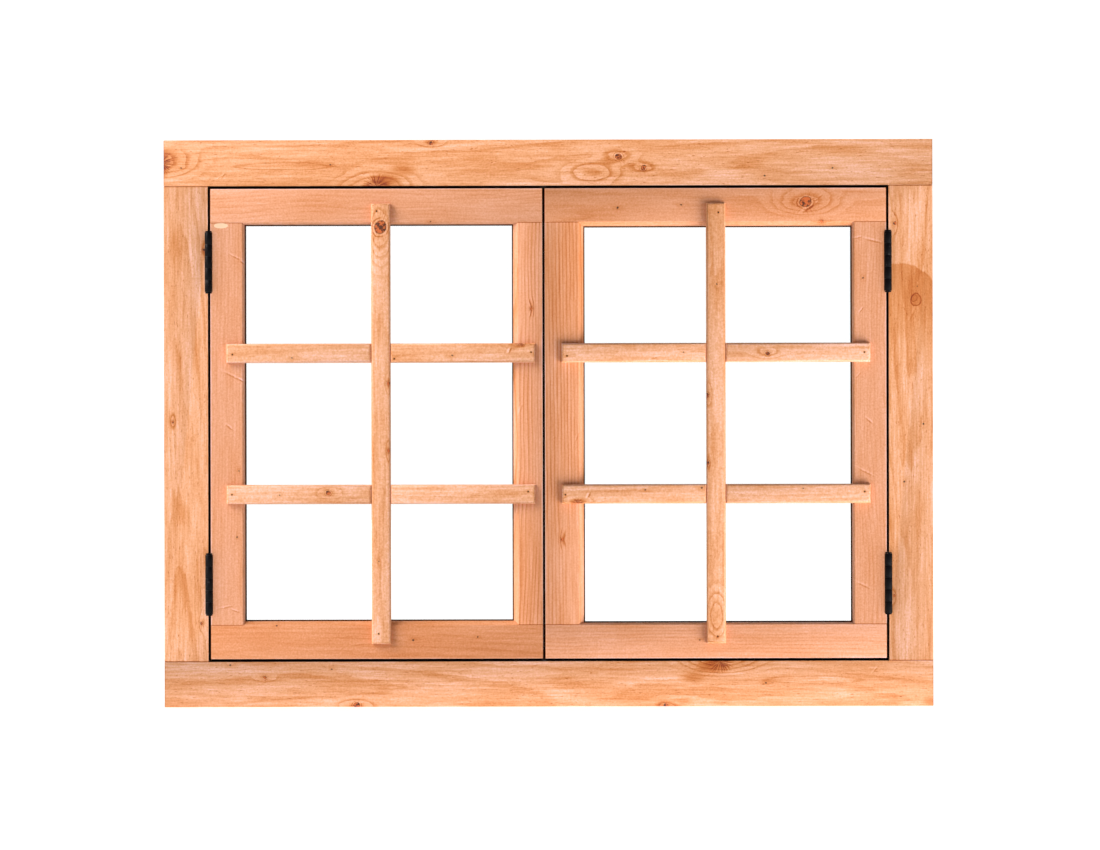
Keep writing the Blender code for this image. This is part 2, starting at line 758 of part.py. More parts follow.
def make_fastener(right, left):
    """A turning lever on the right sash, whose tongue laps over a keep on the left sash."""
    x = right.meeting_x + FASTENER_EDGE
    z = SASH_MIDDLE
    width, height, thickness = FASTENER_PLATE
    plate_back = HARDWARE_FRONT + thickness
    plate = box(
        "fastener_plate", (x - width / 2, HARDWARE_FRONT, z - height / 2),
        (x + width / 2, plate_back, z + height / 2), parts, Y, thickness / 2,
    )
    lever_back = LEVER_FRONT + LEVER_THICKNESS
    boss = cylinder(
        "fastener_boss", FASTENER_BOSS[0], (x, plate_back - thickness / 2, z),
        (x, plate_back + FASTENER_BOSS[1], z), cutters,
    )
    pivot = cylinder(
        "fastener_pivot", PIVOT_RADIUS, (x, plate_back, z), (x, lever_back + 2 * FIT, z), cutters
    )
    head = cylinder(
        "fastener_pivot_head", PIVOT_HEAD[0], (x, lever_back + FIT, z),
        (x, lever_back + FIT + PIVOT_HEAD[1], z), cutters,
    )
    join(plate, boss, pivot, head)
    place = Vector((x, LEVER_FRONT, z))
    lever = prism("fastener_lever", lever_outline(), place, X, Y, LEVER_THICKNESS, parts, second=Z)
    bore = cylinder(
        "fastener_bore", PIVOT_RADIUS + FIT, (x, LEVER_FRONT - OVERCUT, z),
        (x, lever_back + OVERCUT, z), cutters,
    )
    cut(lever, bore)
    keep_width, keep_height = FASTENER_KEEP
    keep_x = left.meeting_x - FASTENER_KEEP_EDGE
    low, high = HARDWARE_FRONT, LEVER_FRONT - FIT
    ramp = [
        (-keep_height / 2, low),
        (-keep_height / 2, high),
        (keep_height / 2 - FASTENER_KEEP_RAMP, high),
        (keep_height / 2, (low + high) / 2),
        (keep_height / 2, low),
    ]
    keep = prism("fastener_keep", ramp, (keep_x, 0, z), Z, -X, keep_width, parts)
    shade_round(plate, lever)
    for piece in (plate, lever, keep):
        finish(piece, "black_steel")
    return plate, lever, keep, place


def make_window():
    jambs = make_frame()
    make_frame_seal()
    carried = {}
    axes = {}
    for sash in (LEFT_SASH, RIGHT_SASH):
        rails, stiles = make_sash_timbers(sash)
        timbers = (*rails.values(), stiles["hinge"])
        leaves = make_hinges(sash, jambs[sash.side], timbers)
        pieces = [*rails.values(), *stiles.values(), *make_glazing(sash), *make_bars(sash), *leaves]
        carried[sash.name] = pieces
        axes[sash.name] = axis_empty(f"{sash.name}_hinge_axis", (sash.axis_x, HINGE_AXIS_Y, SASH_MIDDLE))
    carried["left"].append(make_meeting_seal(LEFT_SASH))
    for level in ("top", "bottom"):
        plate, rod, tip = make_bolt(level, LEFT_SASH)
        carried["left"].append(plate)
        slide = axis_empty(f"{level}_bolt_axis", tip, axes["left"])
        hang(slide, [rod])
    plate, lever, keep, pivot = make_fastener(RIGHT_SASH, LEFT_SASH)
    carried["right"].append(plate)
    carried["left"].append(keep)
    hang(axis_empty("fastener_axis", pivot, axes["right"]), [lever])
    for name, pieces in carried.items():
        hang(axes[name], pieces)


clear_scene()
parts = new_collection("casement_window")
cutters = new_collection("cutters")
make_window()
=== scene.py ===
"""Looks of the timber casement window: oiled softwood, black steel, rubber and clear glass.

Laid out as an add-on and run as a script. Sizes are in metres; +X is to the right seen from
outside, -Y is the outside and +Z is up. Places on the timbers are given in millimetres.
"""

import json
import math
from collections import namedtuple
from itertools import product

import bmesh
import bpy
from bpy.props import FloatProperty, FloatVectorProperty, PointerProperty
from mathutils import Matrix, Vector


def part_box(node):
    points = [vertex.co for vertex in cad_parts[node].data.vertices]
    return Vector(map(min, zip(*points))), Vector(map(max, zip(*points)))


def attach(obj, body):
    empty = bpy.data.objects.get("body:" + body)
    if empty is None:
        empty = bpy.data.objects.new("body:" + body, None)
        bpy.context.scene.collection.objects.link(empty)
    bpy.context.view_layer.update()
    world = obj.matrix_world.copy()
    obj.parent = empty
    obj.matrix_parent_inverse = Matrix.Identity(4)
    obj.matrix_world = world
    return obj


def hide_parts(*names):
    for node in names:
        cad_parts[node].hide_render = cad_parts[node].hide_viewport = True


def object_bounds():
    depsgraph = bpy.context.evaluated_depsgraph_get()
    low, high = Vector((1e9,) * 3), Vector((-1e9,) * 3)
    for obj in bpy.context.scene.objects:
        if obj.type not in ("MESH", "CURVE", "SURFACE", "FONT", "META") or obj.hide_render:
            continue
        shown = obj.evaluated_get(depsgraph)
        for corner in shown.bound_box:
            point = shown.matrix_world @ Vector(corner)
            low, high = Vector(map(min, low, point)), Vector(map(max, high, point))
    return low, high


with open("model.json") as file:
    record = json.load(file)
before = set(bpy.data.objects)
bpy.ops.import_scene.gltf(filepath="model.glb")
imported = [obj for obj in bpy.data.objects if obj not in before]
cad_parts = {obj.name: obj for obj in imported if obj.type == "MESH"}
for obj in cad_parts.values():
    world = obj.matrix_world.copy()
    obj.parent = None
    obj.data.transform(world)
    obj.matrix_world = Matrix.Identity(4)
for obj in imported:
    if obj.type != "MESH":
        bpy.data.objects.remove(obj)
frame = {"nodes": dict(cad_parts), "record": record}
CAD_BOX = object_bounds()

bl_info = {
    "name": "Casement Window",
    "version": (1, 0, 0),
    "blender": (4, 5, 0),
    "location": "3D View > Sidebar > Casement",
    "description": "Builds the timber, hardware, glass and stage of a casement window",
    "category": "Object",
}

MM = 0.001
NODES = frame["nodes"]
BODY_OF = {
    node: body for body, nodes in frame["record"]["behaviour"]["bodies"].items() for node in nodes
}
SLOT_OF = {part["node"]: part["material_slot"] for part in frame["record"]["subparts"]}
WINDOW_LOW, WINDOW_HIGH = (Vector(corner) for corner in CAD_BOX)


# Sizes and colours that a user would change


class WindowTimber(bpy.types.PropertyGroup):
    frame_wood: FloatVectorProperty(
        name="Frame Wood", description="Oiled timber of head, sill and jambs",
        subtype="COLOR", size=3, min=0, max=1, default=(0.840, 0.400, 0.210),
    )
    sash_wood: FloatVectorProperty(
        name="Sash Wood", description="Oiled timber of rails, stiles and beads",
        subtype="COLOR", size=3, min=0, max=1, default=(0.777, 0.351, 0.196),
    )
    bar_wood: FloatVectorProperty(
        name="Bar Wood", description="Oiled timber of the glazing bars",
        subtype="COLOR", size=3, min=0, max=1, default=(0.845, 0.434, 0.262),
    )
    knot_red: FloatVectorProperty(
        name="Knot", description="Heart of a live knot",
        subtype="COLOR", size=3, min=0, max=1, default=(0.620, 0.135, 0.028),
    )
    knot_dark: FloatVectorProperty(
        name="Knot Rim", description="Darkest spots of a knot, and the heart of a pin knot",
        subtype="COLOR", size=3, min=0, max=1, default=(0.045, 0.012, 0.004),
    )
    filler: FloatVectorProperty(
        name="Filler", description="Cream plug that fills a flaw in the left hinge stile",
        subtype="COLOR", size=3, min=0, max=1, default=(0.930, 0.640, 0.420),
    )
    # Painted shade: a near-black colour on the faces inside the gaps round the sashes, standing for the
    # shade that falls in the gaps.
    painted_gap_shade: FloatVectorProperty(
        name="Painted Gap Shade", description="Painted shade on the faces inside the gaps round the sashes",
        subtype="COLOR", size=3, min=0, max=1, default=(0.020, 0.009, 0.005),
    )
    arris: FloatProperty(
        name="Eased Arris", description="Width of the rounding on each long timber edge",
        unit="LENGTH", min=0.0001, max=0.002, default=0.0008,
    )


class WindowHardware(bpy.types.PropertyGroup):
    steel: FloatVectorProperty(
        name="Black Paint", description="Paint on the hinges, bolts and fastener",
        subtype="COLOR", size=3, min=0, max=1, default=(0.0030, 0.0025, 0.0034),
    )
    bare: FloatVectorProperty(
        name="Rubbed Steel", description="Steel where the paint is rubbed off",
        subtype="COLOR", size=3, min=0, max=1, default=(0.23, 0.20, 0.19),
    )
    gasket: FloatVectorProperty(
        name="Gasket", description="Brown rubber round the panes",
        subtype="COLOR", size=3, min=0, max=1, default=(0.085, 0.030, 0.012),
    )
    rubber: FloatVectorProperty(
        name="Seal Rubber", description="Seals round and between the sashes",
        subtype="COLOR", size=3, min=0, max=1, default=(0.022, 0.009, 0.004),
    )
    easing: FloatProperty(
        name="Steel Edge", description="Width of the rounding on steel edges",
        unit="LENGTH", min=0.0001, max=0.001, default=0.00035,
    )
    brad_radius: FloatProperty(
        name="Brad Radius", description="Radius of the brads' heads in the glazing bars",
        unit="LENGTH", min=0.0005, max=0.003, default=0.0011,
    )
    screw_radius: FloatProperty(
        name="Screw Radius", description="Radius of the screws' heads in the inside plates",
        unit="LENGTH", min=0.001, max=0.004, default=0.0023,
    )
    screw_inset: FloatProperty(
        name="Screw Inset", description="From a plate's corner to its screw, along each edge",
        unit="LENGTH", min=0.002, max=0.010, default=0.0044,
    )


class WindowStage(bpy.types.PropertyGroup):
    lens: FloatProperty(
        name="Lens", description="Focal length of the camera",
        unit="CAMERA", min=20, max=200, default=85,
    )
    distance: FloatProperty(
        name="Distance", description="From the camera to the frame's outside face",
        unit="LENGTH", min=1, max=12, default=4.053,
    )
    roll: FloatProperty(
        name="Roll", description="Turn of the camera about its line of sight",
        subtype="ANGLE", min=-0.1, max=0.1, default=math.radians(0.12),
    )
    key: FloatProperty(
        name="Key", description="Strength of each key light", min=0, max=20, default=4.2,
    )
    key_softness: FloatProperty(
        name="Key Softness", description="Angle that each key light fills, seen from the window",
        subtype="ANGLE", min=0, max=3, default=math.radians(44),
    )
    backdrop: FloatProperty(
        name="Backdrop", description="Brightness of the studio behind the window",
        min=0, max=3, default=1.12,
    )
    room: FloatProperty(
        name="Room", description="Brightness of the studio in front of the window",
        min=0, max=3, default=0.20,
    )


# Shader maths


def add_node(tree, kind, inputs=None, out=0, **settings):
    """Adds any node: its settings first, then the values or links of its sockets."""
    node = tree.nodes.new(kind)
    for name, value in settings.items():
        setattr(node, name, value)
    for key, value in (inputs or {}).items():
        if isinstance(value, Socket):
            tree.links.new(value.socket, node.inputs[key])
        else:
            node.inputs[key].default_value = value
    return Socket(tree, node.outputs[out])


class Socket:
    """An output in a node tree. Arithmetic on it adds Math nodes."""

    def __init__(self, tree, socket):
        self.tree, self.socket = tree, socket

    def math(self, operation, *values):
        return add_node(self.tree, "ShaderNodeMath", dict(enumerate(values)), operation=operation)

    def __add__(self, other):
        return self.math("ADD", self, other)

    def __sub__(self, other):
        return self.math("SUBTRACT", self, other)

    def __mul__(self, other):
        return self.math("MULTIPLY", self, other)

    def __truediv__(self, other):
        return self.math("DIVIDE", self, other)

    __radd__ = __add__

    def fraction(self):
        return self.math("FRACT", self)

    def size(self):
        return self.math("ABSOLUTE", self)

    def larger(self, other):
        return self.math("MAXIMUM", self, other)

    def ramp(self, start, end, low=0.0, high=1.0):
        """Goes smoothly from low to high as this value goes from start to end."""
        inputs = {"Value": self, 1: start, 2: end, 3: low, 4: high}
        return add_node(self.tree, "ShaderNodeMapRange", inputs, interpolation_type="SMOOTHSTEP")


def mix(a, b, factor, mode="MIX"):
    """Blends two colours, at least one of which is a socket."""
    tree = next(value.tree for value in (a, b, factor) if isinstance(value, Socket))
    inputs = {0: factor, 6: a, 7: b}
    return add_node(tree, "ShaderNodeMix", inputs, out=2, data_type="RGBA", blend_type=mode)


def vector(x, y, z):
    tree = next(value.tree for value in (x, y, z) if isinstance(value, Socket))
    return add_node(tree, "ShaderNodeCombineXYZ", {0: x, 1: y, 2: z})


def noise(place, scale=1.0, detail=2.0, roughness=0.5):
    inputs = {"Vector": place, "Scale": scale, "Detail": detail, "Roughness": roughness}
    return add_node(place.tree, "ShaderNodeTexNoise", inputs)


def distance(place, point):
    inputs = {0: place, 1: point}
    return add_node(place.tree, "ShaderNodeVectorMath", inputs, out="Value", operation="DISTANCE")


def object_millimetres(tree):
    """The three object coordinates, in millimetres."""
    coordinates = add_node(tree, "ShaderNodeTexCoord", out="Object")
    split = tree.nodes.new("ShaderNodeSeparateXYZ")
    tree.links.new(coordinates.socket, split.inputs[0])
    return [Socket(tree, output) * (1 / MM) for output in split.outputs]


def new_material(name):
    material = bpy.data.materials.new(name)
    material.use_nodes = True
    tree = material.node_tree
    return material, tree, tree.nodes["Principled BSDF"]


def feed(shader, **values):
    """Sets or links inputs of the shader, whose names are written with underscores."""
    for name, value in values.items():
        socket = shader.inputs[name.replace("_", " ")]
        if isinstance(value, Socket):
            value.tree.links.new(value.socket, socket)
        else:
            socket.default_value = value


def bump(height, strength, depth):
    inputs = {"Strength": strength, "Distance": depth, "Height": height}
    return add_node(height.tree, "ShaderNodeBump", inputs)


# Timber. Each board is cut from a log of its own, so its rings, knots and tone differ. Places,
# radii and half sizes are in millimetres. A tone multiplies the shade and a depth is taken off it.

LIVE, PIN, SWIRL, FAN = "live knot", "pin knot", "swirl", "fan of grain"
Knot = namedtuple("Knot", "x z radius kind", defaults=(PIN,))
Patch = namedtuple("Patch", "x z half_x half_z tone edge fade rim", defaults=(0.3, None, 0))
Streak = namedtuple("Streak", "x z half_length half_width degrees depth", defaults=(0.16,))
Step = namedtuple("Step", "place tone")
Character = namedtuple("Character", "line cloud streak fibre mottle fleck")

CHARACTERS = {
    "frame": Character(0.13, 0.34, 0.46, 0.34, 0.34, 0.30),
    "sash": Character(0.07, 0.20, 0.20, 0.16, 0.34, 0.06),
    "striped": Character(0.20, 0.14, 0.34, 0.20, 0.24, 0.05),
    "bar": Character(0.09, 0.30, 0.34, 0.26, 0.42, 0.14),
}


class Board:
    """How one timber grew: its grain's direction, its pith, its rings and what marks it."""

    def __init__(self, node, kind, axis, seed, pith, tilt, ring, tone=1.0, striped=False, marks=()):
        self.node, self.kind, self.axis, self.seed = node, kind, axis, seed
        self.pith, self.tilt, self.ring, self.tone = pith, tilt, ring, tone
        self.character = CHARACTERS["striped" if striped else kind]
        self.marks = marks

    @property
    def is_bead(self):
        return self.node.endswith("_bead")

    def all_of(self, kind):
        return [mark for mark in self.marks if isinstance(mark, kind)]


FRAME_BOARDS = (
    Board(
        "head", "frame", "X", 1, (842, 80), (0.020, -0.010), 5.0, tone=0.995,
        marks=(
            Knot(-267, 813, 8.5, FAN), Knot(-604, 850, 8, FAN), Knot(-572, 842, 1.4),
            Knot(-339, 847, 1.3),
            Knot(-182, 880, 3.2, LIVE), Knot(110, 858, 5, LIVE), Knot(149, 841, 3.6, LIVE),
            Knot(338, 828, 1.6), Knot(444, 840, 1.4), Knot(70, 834, 8, SWIRL),
            Patch(-226, 838, 28, 13, 0.76, 0.9), Patch(-252, 822, 30, 16, 0.68, 0.9),
            Patch(-310, 848, 330, 60, 0.96, 0.3),
            Patch(-412, 844, 76, 6, 1.05, 0.4, None, 0.13),
            Patch(-420, 884, 170, 14, 0.93, 0.9), Patch(-400, 816, 150, 10, 0.94, 0.9),
            Patch(-592, 868, 26, 14, 0.88, 0.8), Patch(215, 872, 60, 8, 0.94, 0.7),
            Patch(-600, 846, 13, 28, 0.76, 0.9), Patch(-30, 848, 60, 10, 0.95, 0.9),
            Streak(-508, 829, 10, 1.6, 50), Streak(-514, 826, 8, 1.2, 35),
            Streak(-180, 842, 60, 2.2, 3, 0.06),
        ),
    ),
    Board(
        "sill", "frame", "X", 2, (20, 95), (-0.016, 0.010), 5.2, tone=1.012,
        marks=(
            Knot(-497, 66, 1.5), Knot(-339, 59, 1.4), Knot(338, 36, 1.5), Knot(-444, 46, 2.6, LIVE),
            Knot(-300, 3, 4.5, LIVE), Knot(267, 71, 8.5, FAN), Knot(182, 2, 3, LIVE),
            Patch(226, 46, 28, 13, 0.76, 0.9), Patch(252, 62, 30, 16, 0.68, 0.9),
            Patch(310, 36, 330, 60, 0.96, 0.3), Patch(208, 8, 18, 8, 0.88, 0.8),
            Patch(270, 6, 26, 6, 0.90, 0.8), Patch(412, 41, 76, 6, 1.05, 0.4, None, 0.13),
            Patch(420, 1, 170, 14, 0.93, 0.9), Patch(400, 69, 150, 10, 0.94, 0.9),
            Patch(597, 6, 20, 14, 0.78, 0.9), Patch(30, 40, 60, 10, 0.95, 0.9),
            Streak(508, 56, 10, 1.6, 50), Streak(182, 42, 60, 2.2, 3, 0.06),
        ),
    ),
    Board(
        "left_jamb", "frame", "Z", 3, (-575, 62), (-0.004, 0.026), 4.8, tone=1.01,
        marks=(
            Knot(-537, 714, 2.2, LIVE), Knot(-586, 446, 2.0, LIVE), Knot(-541, 132, 2.2, LIVE),
            Patch(-580, 700, 12, 60, 0.96, 0.9), Patch(-545, 560, 10, 120, 0.96, 0.9),
            Patch(-560, 250, 60, 190, 0.95, 0.7),
        ),
    ),
    Board(
        "right_jamb", "frame", "Z", 4, (564, 60), (0.006, -0.022), 4.8, tone=1.0,
        marks=(
            Knot(541, 753, 2.6, LIVE), Knot(576, 655, 1.0), Knot(585, 440, 1.6), Knot(555, 350, 1.5),
            Knot(538, 171, 2.0, LIVE), Patch(574, 634, 8, 10, 0.88, 0.4, None, 0.40),
            Patch(571, 636, 4, 5, 0.96, 0.4, None, 0.32),
            Patch(548, 600, 75, 92, 0.785, 0.03, (490, 660)),
            Streak(566, 608, 16, 2.4, 62, 0.10), Streak(562, 655, 10, 1.6, 82, 0.08),
        ),
    ),
)
SASH_BOARDS = (
    Board(
        "left_top_rail", "sash", "X", 11, (900, 190), (0.006, 0.004), 3.1, 0.985,
        marks=(Step(-392, 0.985), Step(-107, 1.01), Knot(-404, 752, 1.3), Knot(-184, 757, 1.1)),
    ),
    Board(
        "left_bottom_rail", "sash", "X", 12, (20, 170), (-0.008, 0.006), 3.4, 0.888,
        marks=(
            Knot(-425, 127, 1.3), Knot(-211, 105, 1.8), Knot(-111, 109, 1.2),
            Streak(-300, 97, 14, 2, 8, 0.08), Patch(-240, 112, 60, 12, 1.02, 0.8),
        ),
    ),
    Board(
        "left_hinge_stile", "sash", "Z", 13, (-650, 210), (0.004, -0.006), 2.8, 0.985,
        marks=(
            Streak(-489, 703, 17, 1.9, -26), Streak(-478, 695, 5, 1.8, -35, 0.30),
            Streak(-495, 518, 22, 2.0, -27), Streak(-480, 511, 6, 1.6, -35, 0.30),
            Streak(-499, 438, 10, 2.0, -40, 0.2), Knot(-483, 369, 1.2), Knot(-486, 266, 1.2),
            Streak(-505, 156, 16, 1.8, 12), Streak(-490, 151, 10, 1.6, -20, 0.2),
            Patch(-478, 190, 8, 80, 0.95, 0.8), Patch(-482, 450, 6, 90, 0.97, 0.8),
        ),
    ),
    Board(
        "left_meeting_stile", "sash", "Z", 14, (60, 20), (0.010, 0.003), 5.0, 0.99, True,
        marks=(
            Knot(-26, 622, 2.2, LIVE), Streak(-44, 464, 10, 2, 70, 0.12),
            Patch(-27, 215, 60, 120, 0.945, 0.5),
        ),
    ),
    Board(
        "right_top_rail", "sash", "X", 15, (760, 120), (-0.010, 0.004), 3.6, 0.945,
        marks=(
            Knot(108, 778, 1.7), Knot(208, 783, 1.7), Knot(402, 787, 8, LIVE),
            Knot(427, 757, 2.4, LIVE),
            Patch(404, 785, 20, 14, 0.93, 0.9), Streak(404, 776, 16, 3, 35, 0.2),
            Streak(420, 792, 14, 2, 40, 0.12),
        ),
    ),
    Board(
        "right_bottom_rail", "sash", "X", 16, (-30, 180), (0.006, 0.005), 3.0, 1.0,
        marks=(Step(104, 0.985), Step(396, 1.015), Knot(236, 104, 1.1)),
    ),
    Board(
        "right_meeting_stile", "sash", "Z", 17, (-75, 20), (-0.008, 0.003), 4.7, 0.965, True,
        marks=(
            Knot(21, 261, 2.2, LIVE), Streak(44, 420, 10, 2, 70, 0.12),
            Patch(27, 665, 60, 120, 0.945, 0.5),
        ),
    ),
    Board(
        "right_hinge_stile", "sash", "Z", 18, (680, 200), (-0.006, 0.007), 2.9, 0.985,
        marks=(
            Streak(482, 731, 10, 1.8, 14), Streak(505, 727, 20, 2.2, -14, 0.2), Knot(491, 668, 1.3),
            Streak(488, 618, 8, 1.6, 55, 0.22), Streak(494, 366, 20, 2.0, -27),
            Streak(483, 516, 9, 1.6, 50, 0.14), Streak(500, 446, 10, 2.0, -40, 0.18),
            Streak(490, 189, 17, 1.9, -26), Patch(478, 690, 8, 80, 0.95, 0.8),
        ),
    ),
)
BAR_BOARDS = (
    Board(
        "left_upright_bar", "bar", "Z", 21, (-272, 14), (0.012, 0.010), 3.4, 0.962,
        marks=(
            Knot(-261, 748, 9, LIVE), Knot(-249, 505, 2.6, LIVE), Knot(-249, 400, 2.6, LIVE),
            Knot(-265, 227, 1.2), Patch(-262, 716, 6, 8, 0.93, 0.9),
        ),
    ),
    Board(
        "right_upright_bar", "bar", "Z", 22, (268, 16), (-0.010, 0.012), 3.6, 0.95,
        marks=(
            Knot(263, 659, 1.4), Knot(247, 485, 3.4, LIVE), Knot(247, 380, 3.4, LIVE),
            Knot(261, 139, 8, SWIRL), Patch(256, 440, 6, 70, 0.95, 0.9),
        ),
    ),
    Board(
        "left_upper_hinge_bar", "bar", "X", 23, (560, 60), (0.02, 0.0), 4.2, 0.99,
        marks=(Knot(-399, 545, 1.4), Streak(-462, 548, 8, 2, 10, 0.08)),
    ),
    Board(
        "left_upper_meeting_bar", "bar", "X", 24, (540, 50), (-0.02, 0.0), 4.0, 0.97,
        marks=(
            Knot(-151, 547, 1.5), Knot(-44, 568, 4, FAN), Patch(-53, 561, 11, 6, 0.86, 0.9),
            Streak(-61, 555, 7, 2.4, 62, 0.3),
        ),
    ),
    Board(
        "left_lower_hinge_bar", "bar", "X", 25, (352, 80), (0.015, 0.0), 4.0, 1.0,
        marks=(Knot(-343, 335, 3.6, LIVE), Knot(-420, 330, 1.0)),
    ),
    Board("left_lower_meeting_bar", "bar", "X", 26, (300, 70), (0.02, 0.0), 4.2, 0.995),
    Board(
        "right_upper_meeting_bar", "bar", "X", 27, (570, 64), (0.02, 0.0), 4.0, 0.985,
        marks=(Streak(165, 544, 8, 2, 15, 0.12), Knot(210, 552, 1.0)),
    ),
    Board(
        "right_upper_hinge_bar", "bar", "X", 28, (520, 60), (-0.02, 0.0), 3.8, 1.0,
        marks=(Knot(341, 550, 3.4, LIVE), Streak(430, 545, 8, 2, -12, 0.1)),
    ),
    Board(
        "right_lower_meeting_bar", "bar", "X", 29, (310, 56), (0.02, 0.0), 3.8, 0.95,
        marks=(
            Knot(150, 338, 1.2), Knot(238, 341, 1.6), Knot(45, 317, 4, FAN),
            Patch(54, 324, 11, 6, 0.86, 0.9), Streak(62, 330, 7, 2.4, 62, 0.3),
        ),
    ),
    Board(
        "right_lower_hinge_bar", "bar", "X", 30, (356, 70), (0.01, 0.0), 4.0, 0.982,
        marks=(Knot(396, 340, 1.2), Streak(300, 331, 8, 2, 12, 0.08)),
    ),
)
BEAD_SIDES = (("top", "X"), ("bottom", "X"), ("hinge", "Z"), ("meeting", "Z"))
BEAD_BOARDS = tuple(
    Board(f"{sash}_{side}_bead", "sash", axis, first_seed + index, (300, 90), (0.0, 0.0), 3.2)
    for sash, first_seed in (("left", 40), ("right", 44))
    for index, (side, axis) in enumerate(BEAD_SIDES)
)
FILLED_BOARD = "left_hinge_stile"
FILLER_PLUG = Patch(-510.5, 751.5, 11.5, 4.4, 1.0, 0.12)

# Brads in the glazing bars: the bar and the places of their heads
BRADS = {
    "left_upright_bar": ((-267, 773), (-265, 115)),
    "right_upright_bar": ((265, 770), (263, 110)),
    "left_upper_hinge_bar": ((-492, 550),),
    "left_upper_meeting_bar": ((-240, 543), (-27, 553)),
    "left_lower_hinge_bar": ((-493, 332),),
    "left_lower_meeting_bar": ((-32, 336),),
    "right_upper_meeting_bar": ((29, 547),),
    "right_upper_hinge_bar": ((492, 552),),
    "right_lower_meeting_bar": ((26, 331),),
    "right_lower_hinge_bar": ((492, 335),),
}

SCREWED_PLATES = ("top_bolt_plate", "bottom_bolt_plate", "fastener_plate")

# Sizes of the pieces, in metres
PLATE_THICKNESS = 0.002
BRAD_LENGTH, BRAD_SINK = 0.002, 0.0008  # the sink is from the bar's face to the brad's middle
SCREW_LENGTH, RECESS_FLOOR = 0.0016, 0.0006  # the floor is measured from the screw's middle
STRIP_EASING = 0.0004
STRIP_GAP, STRIP_SINK = 0.00005, 0.00025  # left before one sash, and let into the other
CLEAN_ANGLE = math.radians(0.5)  # between faces that are merged into one
FLOOR_DROP = 0.0005  # of the floor, below the sill

# Looks of the timber: lengths in millimetres and parts of the shade, which is about 1 on clear wood
DIMMING = (2.25, 4.7)  # powers of the shade in green and blue, where red takes it as it is
DARKEST = 0.25
FLOW_STRETCH = 2.6  # of the grain's flow round a knot, along the grain
FLOW_REACH = {LIVE: 4.0, PIN: 5.0, SWIRL: 3.4, FAN: 4.6}  # of the flow, in knot radii
FLOW_HEIGHT = {LIVE: 1.6, PIN: 1.0, SWIRL: 1.7, FAN: 2.2}  # that it lifts the rings, in knot radii
FLOW_SHADE = {LIVE: 0.08, PIN: 0.10, SWIRL: 0.06, FAN: 0.07}  # that it takes off at the knot
KNOT_STRETCH = 1.15  # of a knot's heart, along the grain
BRAD_DENT = 0.22  # shade that the dent round a brad takes off
JOINT_SHADE, BAR_END_SHADE = 0.40, 0.05  # that the fine line at a board's end takes off
ARRIS_HIGHLIGHT = 0.14  # painted highlight: shade that is added along the sashes' outer edges
REBATE_DEPTH = 8.0  # of the frame's rebate, from the middle of the wall to the stop
SEAL_INSET = 0.5  # of the frame's seal from the face of the opening
GAP_SHADE_SKIN = 0.25  # over which the painted shade of the gaps fades out
FILLER_DEPTH = 6  # of the filled flaw, from the front face


class Grain:
    """What all marks on one board share: the place in the wood, in millimetres, and the noises."""

    def __init__(self, board, tree):
        self.seed = board.seed * 37.0
        self.x, self.depth, self.z = object_millimetres(tree)
        self.along, self.across = (self.x, self.z) if board.axis == "X" else (self.z, self.x)
        self.ripple = self.drawn_noise(0.020, 0.12)
        self.jitter = (self.ripple - 0.5) * 5
        self.mottle = self.spot_noise(0.34, roughness=0.6)
        self.fibre = self.drawn_noise(0.07, 1.1, roughness=0.6)

    def drawn_noise(self, lengthwise, crosswise, detail=2.0, roughness=0.5):
        """Noise drawn out along the grain, at so many waves per millimetre each way."""
        along = self.along * lengthwise + self.seed
        place = vector(along, self.across * crosswise, self.depth * crosswise)
        return noise(place, detail=detail, roughness=roughness)

    def shifted_noise(self, lengthwise, crosswise):
        """Plain drawn noise from another part of its field."""
        across = self.across * crosswise + self.seed
        return noise(vector(self.along * lengthwise, across, self.depth * crosswise), detail=1)

    def spot_noise(self, scale, roughness):
        """Noise that is alike in every direction."""
        place = vector(self.x * scale, self.depth * scale, self.z * scale + self.seed)
        return noise(place, detail=3, roughness=roughness)


def knot_place(board, knot, stretch):
    along, across = (knot.x, knot.z) if board.axis == "X" else (knot.z, knot.x)
    return (along / stretch, across, 0)


def patch_mask(x, z, patch):
    """1 in the middle of an elliptical patch and 0 outside it."""
    mask = patch_reach(x, z, patch).ramp(1.0, 1.0 - patch.edge)
    return mask * z.ramp(*patch.fade) if patch.fade else mask


def patch_reach(x, z, patch):
    """0 in the middle of a patch and 1 on its edge."""
    middle = (patch.x / patch.half_x, patch.z / patch.half_z, 0)
    return distance(vector(x / patch.half_x, z / patch.half_z, 0), middle)


def streak_shade(x, z, streak):
    """A slanting scar in the grain: a pale core with a dark lower fringe."""
    turn = math.radians(streak.degrees)
    cos, sin = math.cos(turn), math.sin(turn)
    along = (x * cos + z * sin - (streak.x * cos + streak.z * sin)) / streak.half_length
    across = (z * cos - x * sin - (streak.z * cos - streak.x * sin)) / streak.half_width
    core = distance(vector(along, across, 0), (-0.05, 0.75, 0)).ramp(1.1, 0.3)
    fringe = distance(vector(along, across, 0), (0.15, -0.5, 0)).ramp(0.9, 0.2)
    return core * (streak.depth * 0.6) - fringe * streak.depth


def rim_distance(x, z, low, high):
    """How far a point lies outside an upright rectangle, in millimetres, and below 0 inside it."""
    sides = []
    for value, start, end in ((x, low[0], high[0]), (z, low[2], high[2])):
        middle, half = (start + end) / 2 / MM, (end - start) / 2 / MM
        sides.append((value - middle).size() - half)
    return sides[0].larger(sides[1])


def sash_beyond(board, grain):
    """How far a point lies outside its sash's outline, in millimetres, and below 0 inside it."""
    sash = board.node.split("_")[0]
    rail_low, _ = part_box(f"{sash}_bottom_rail")
    _, rail_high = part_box(f"{sash}_top_rail")
    return rim_distance(grain.x, grain.z, rail_low, rail_high)


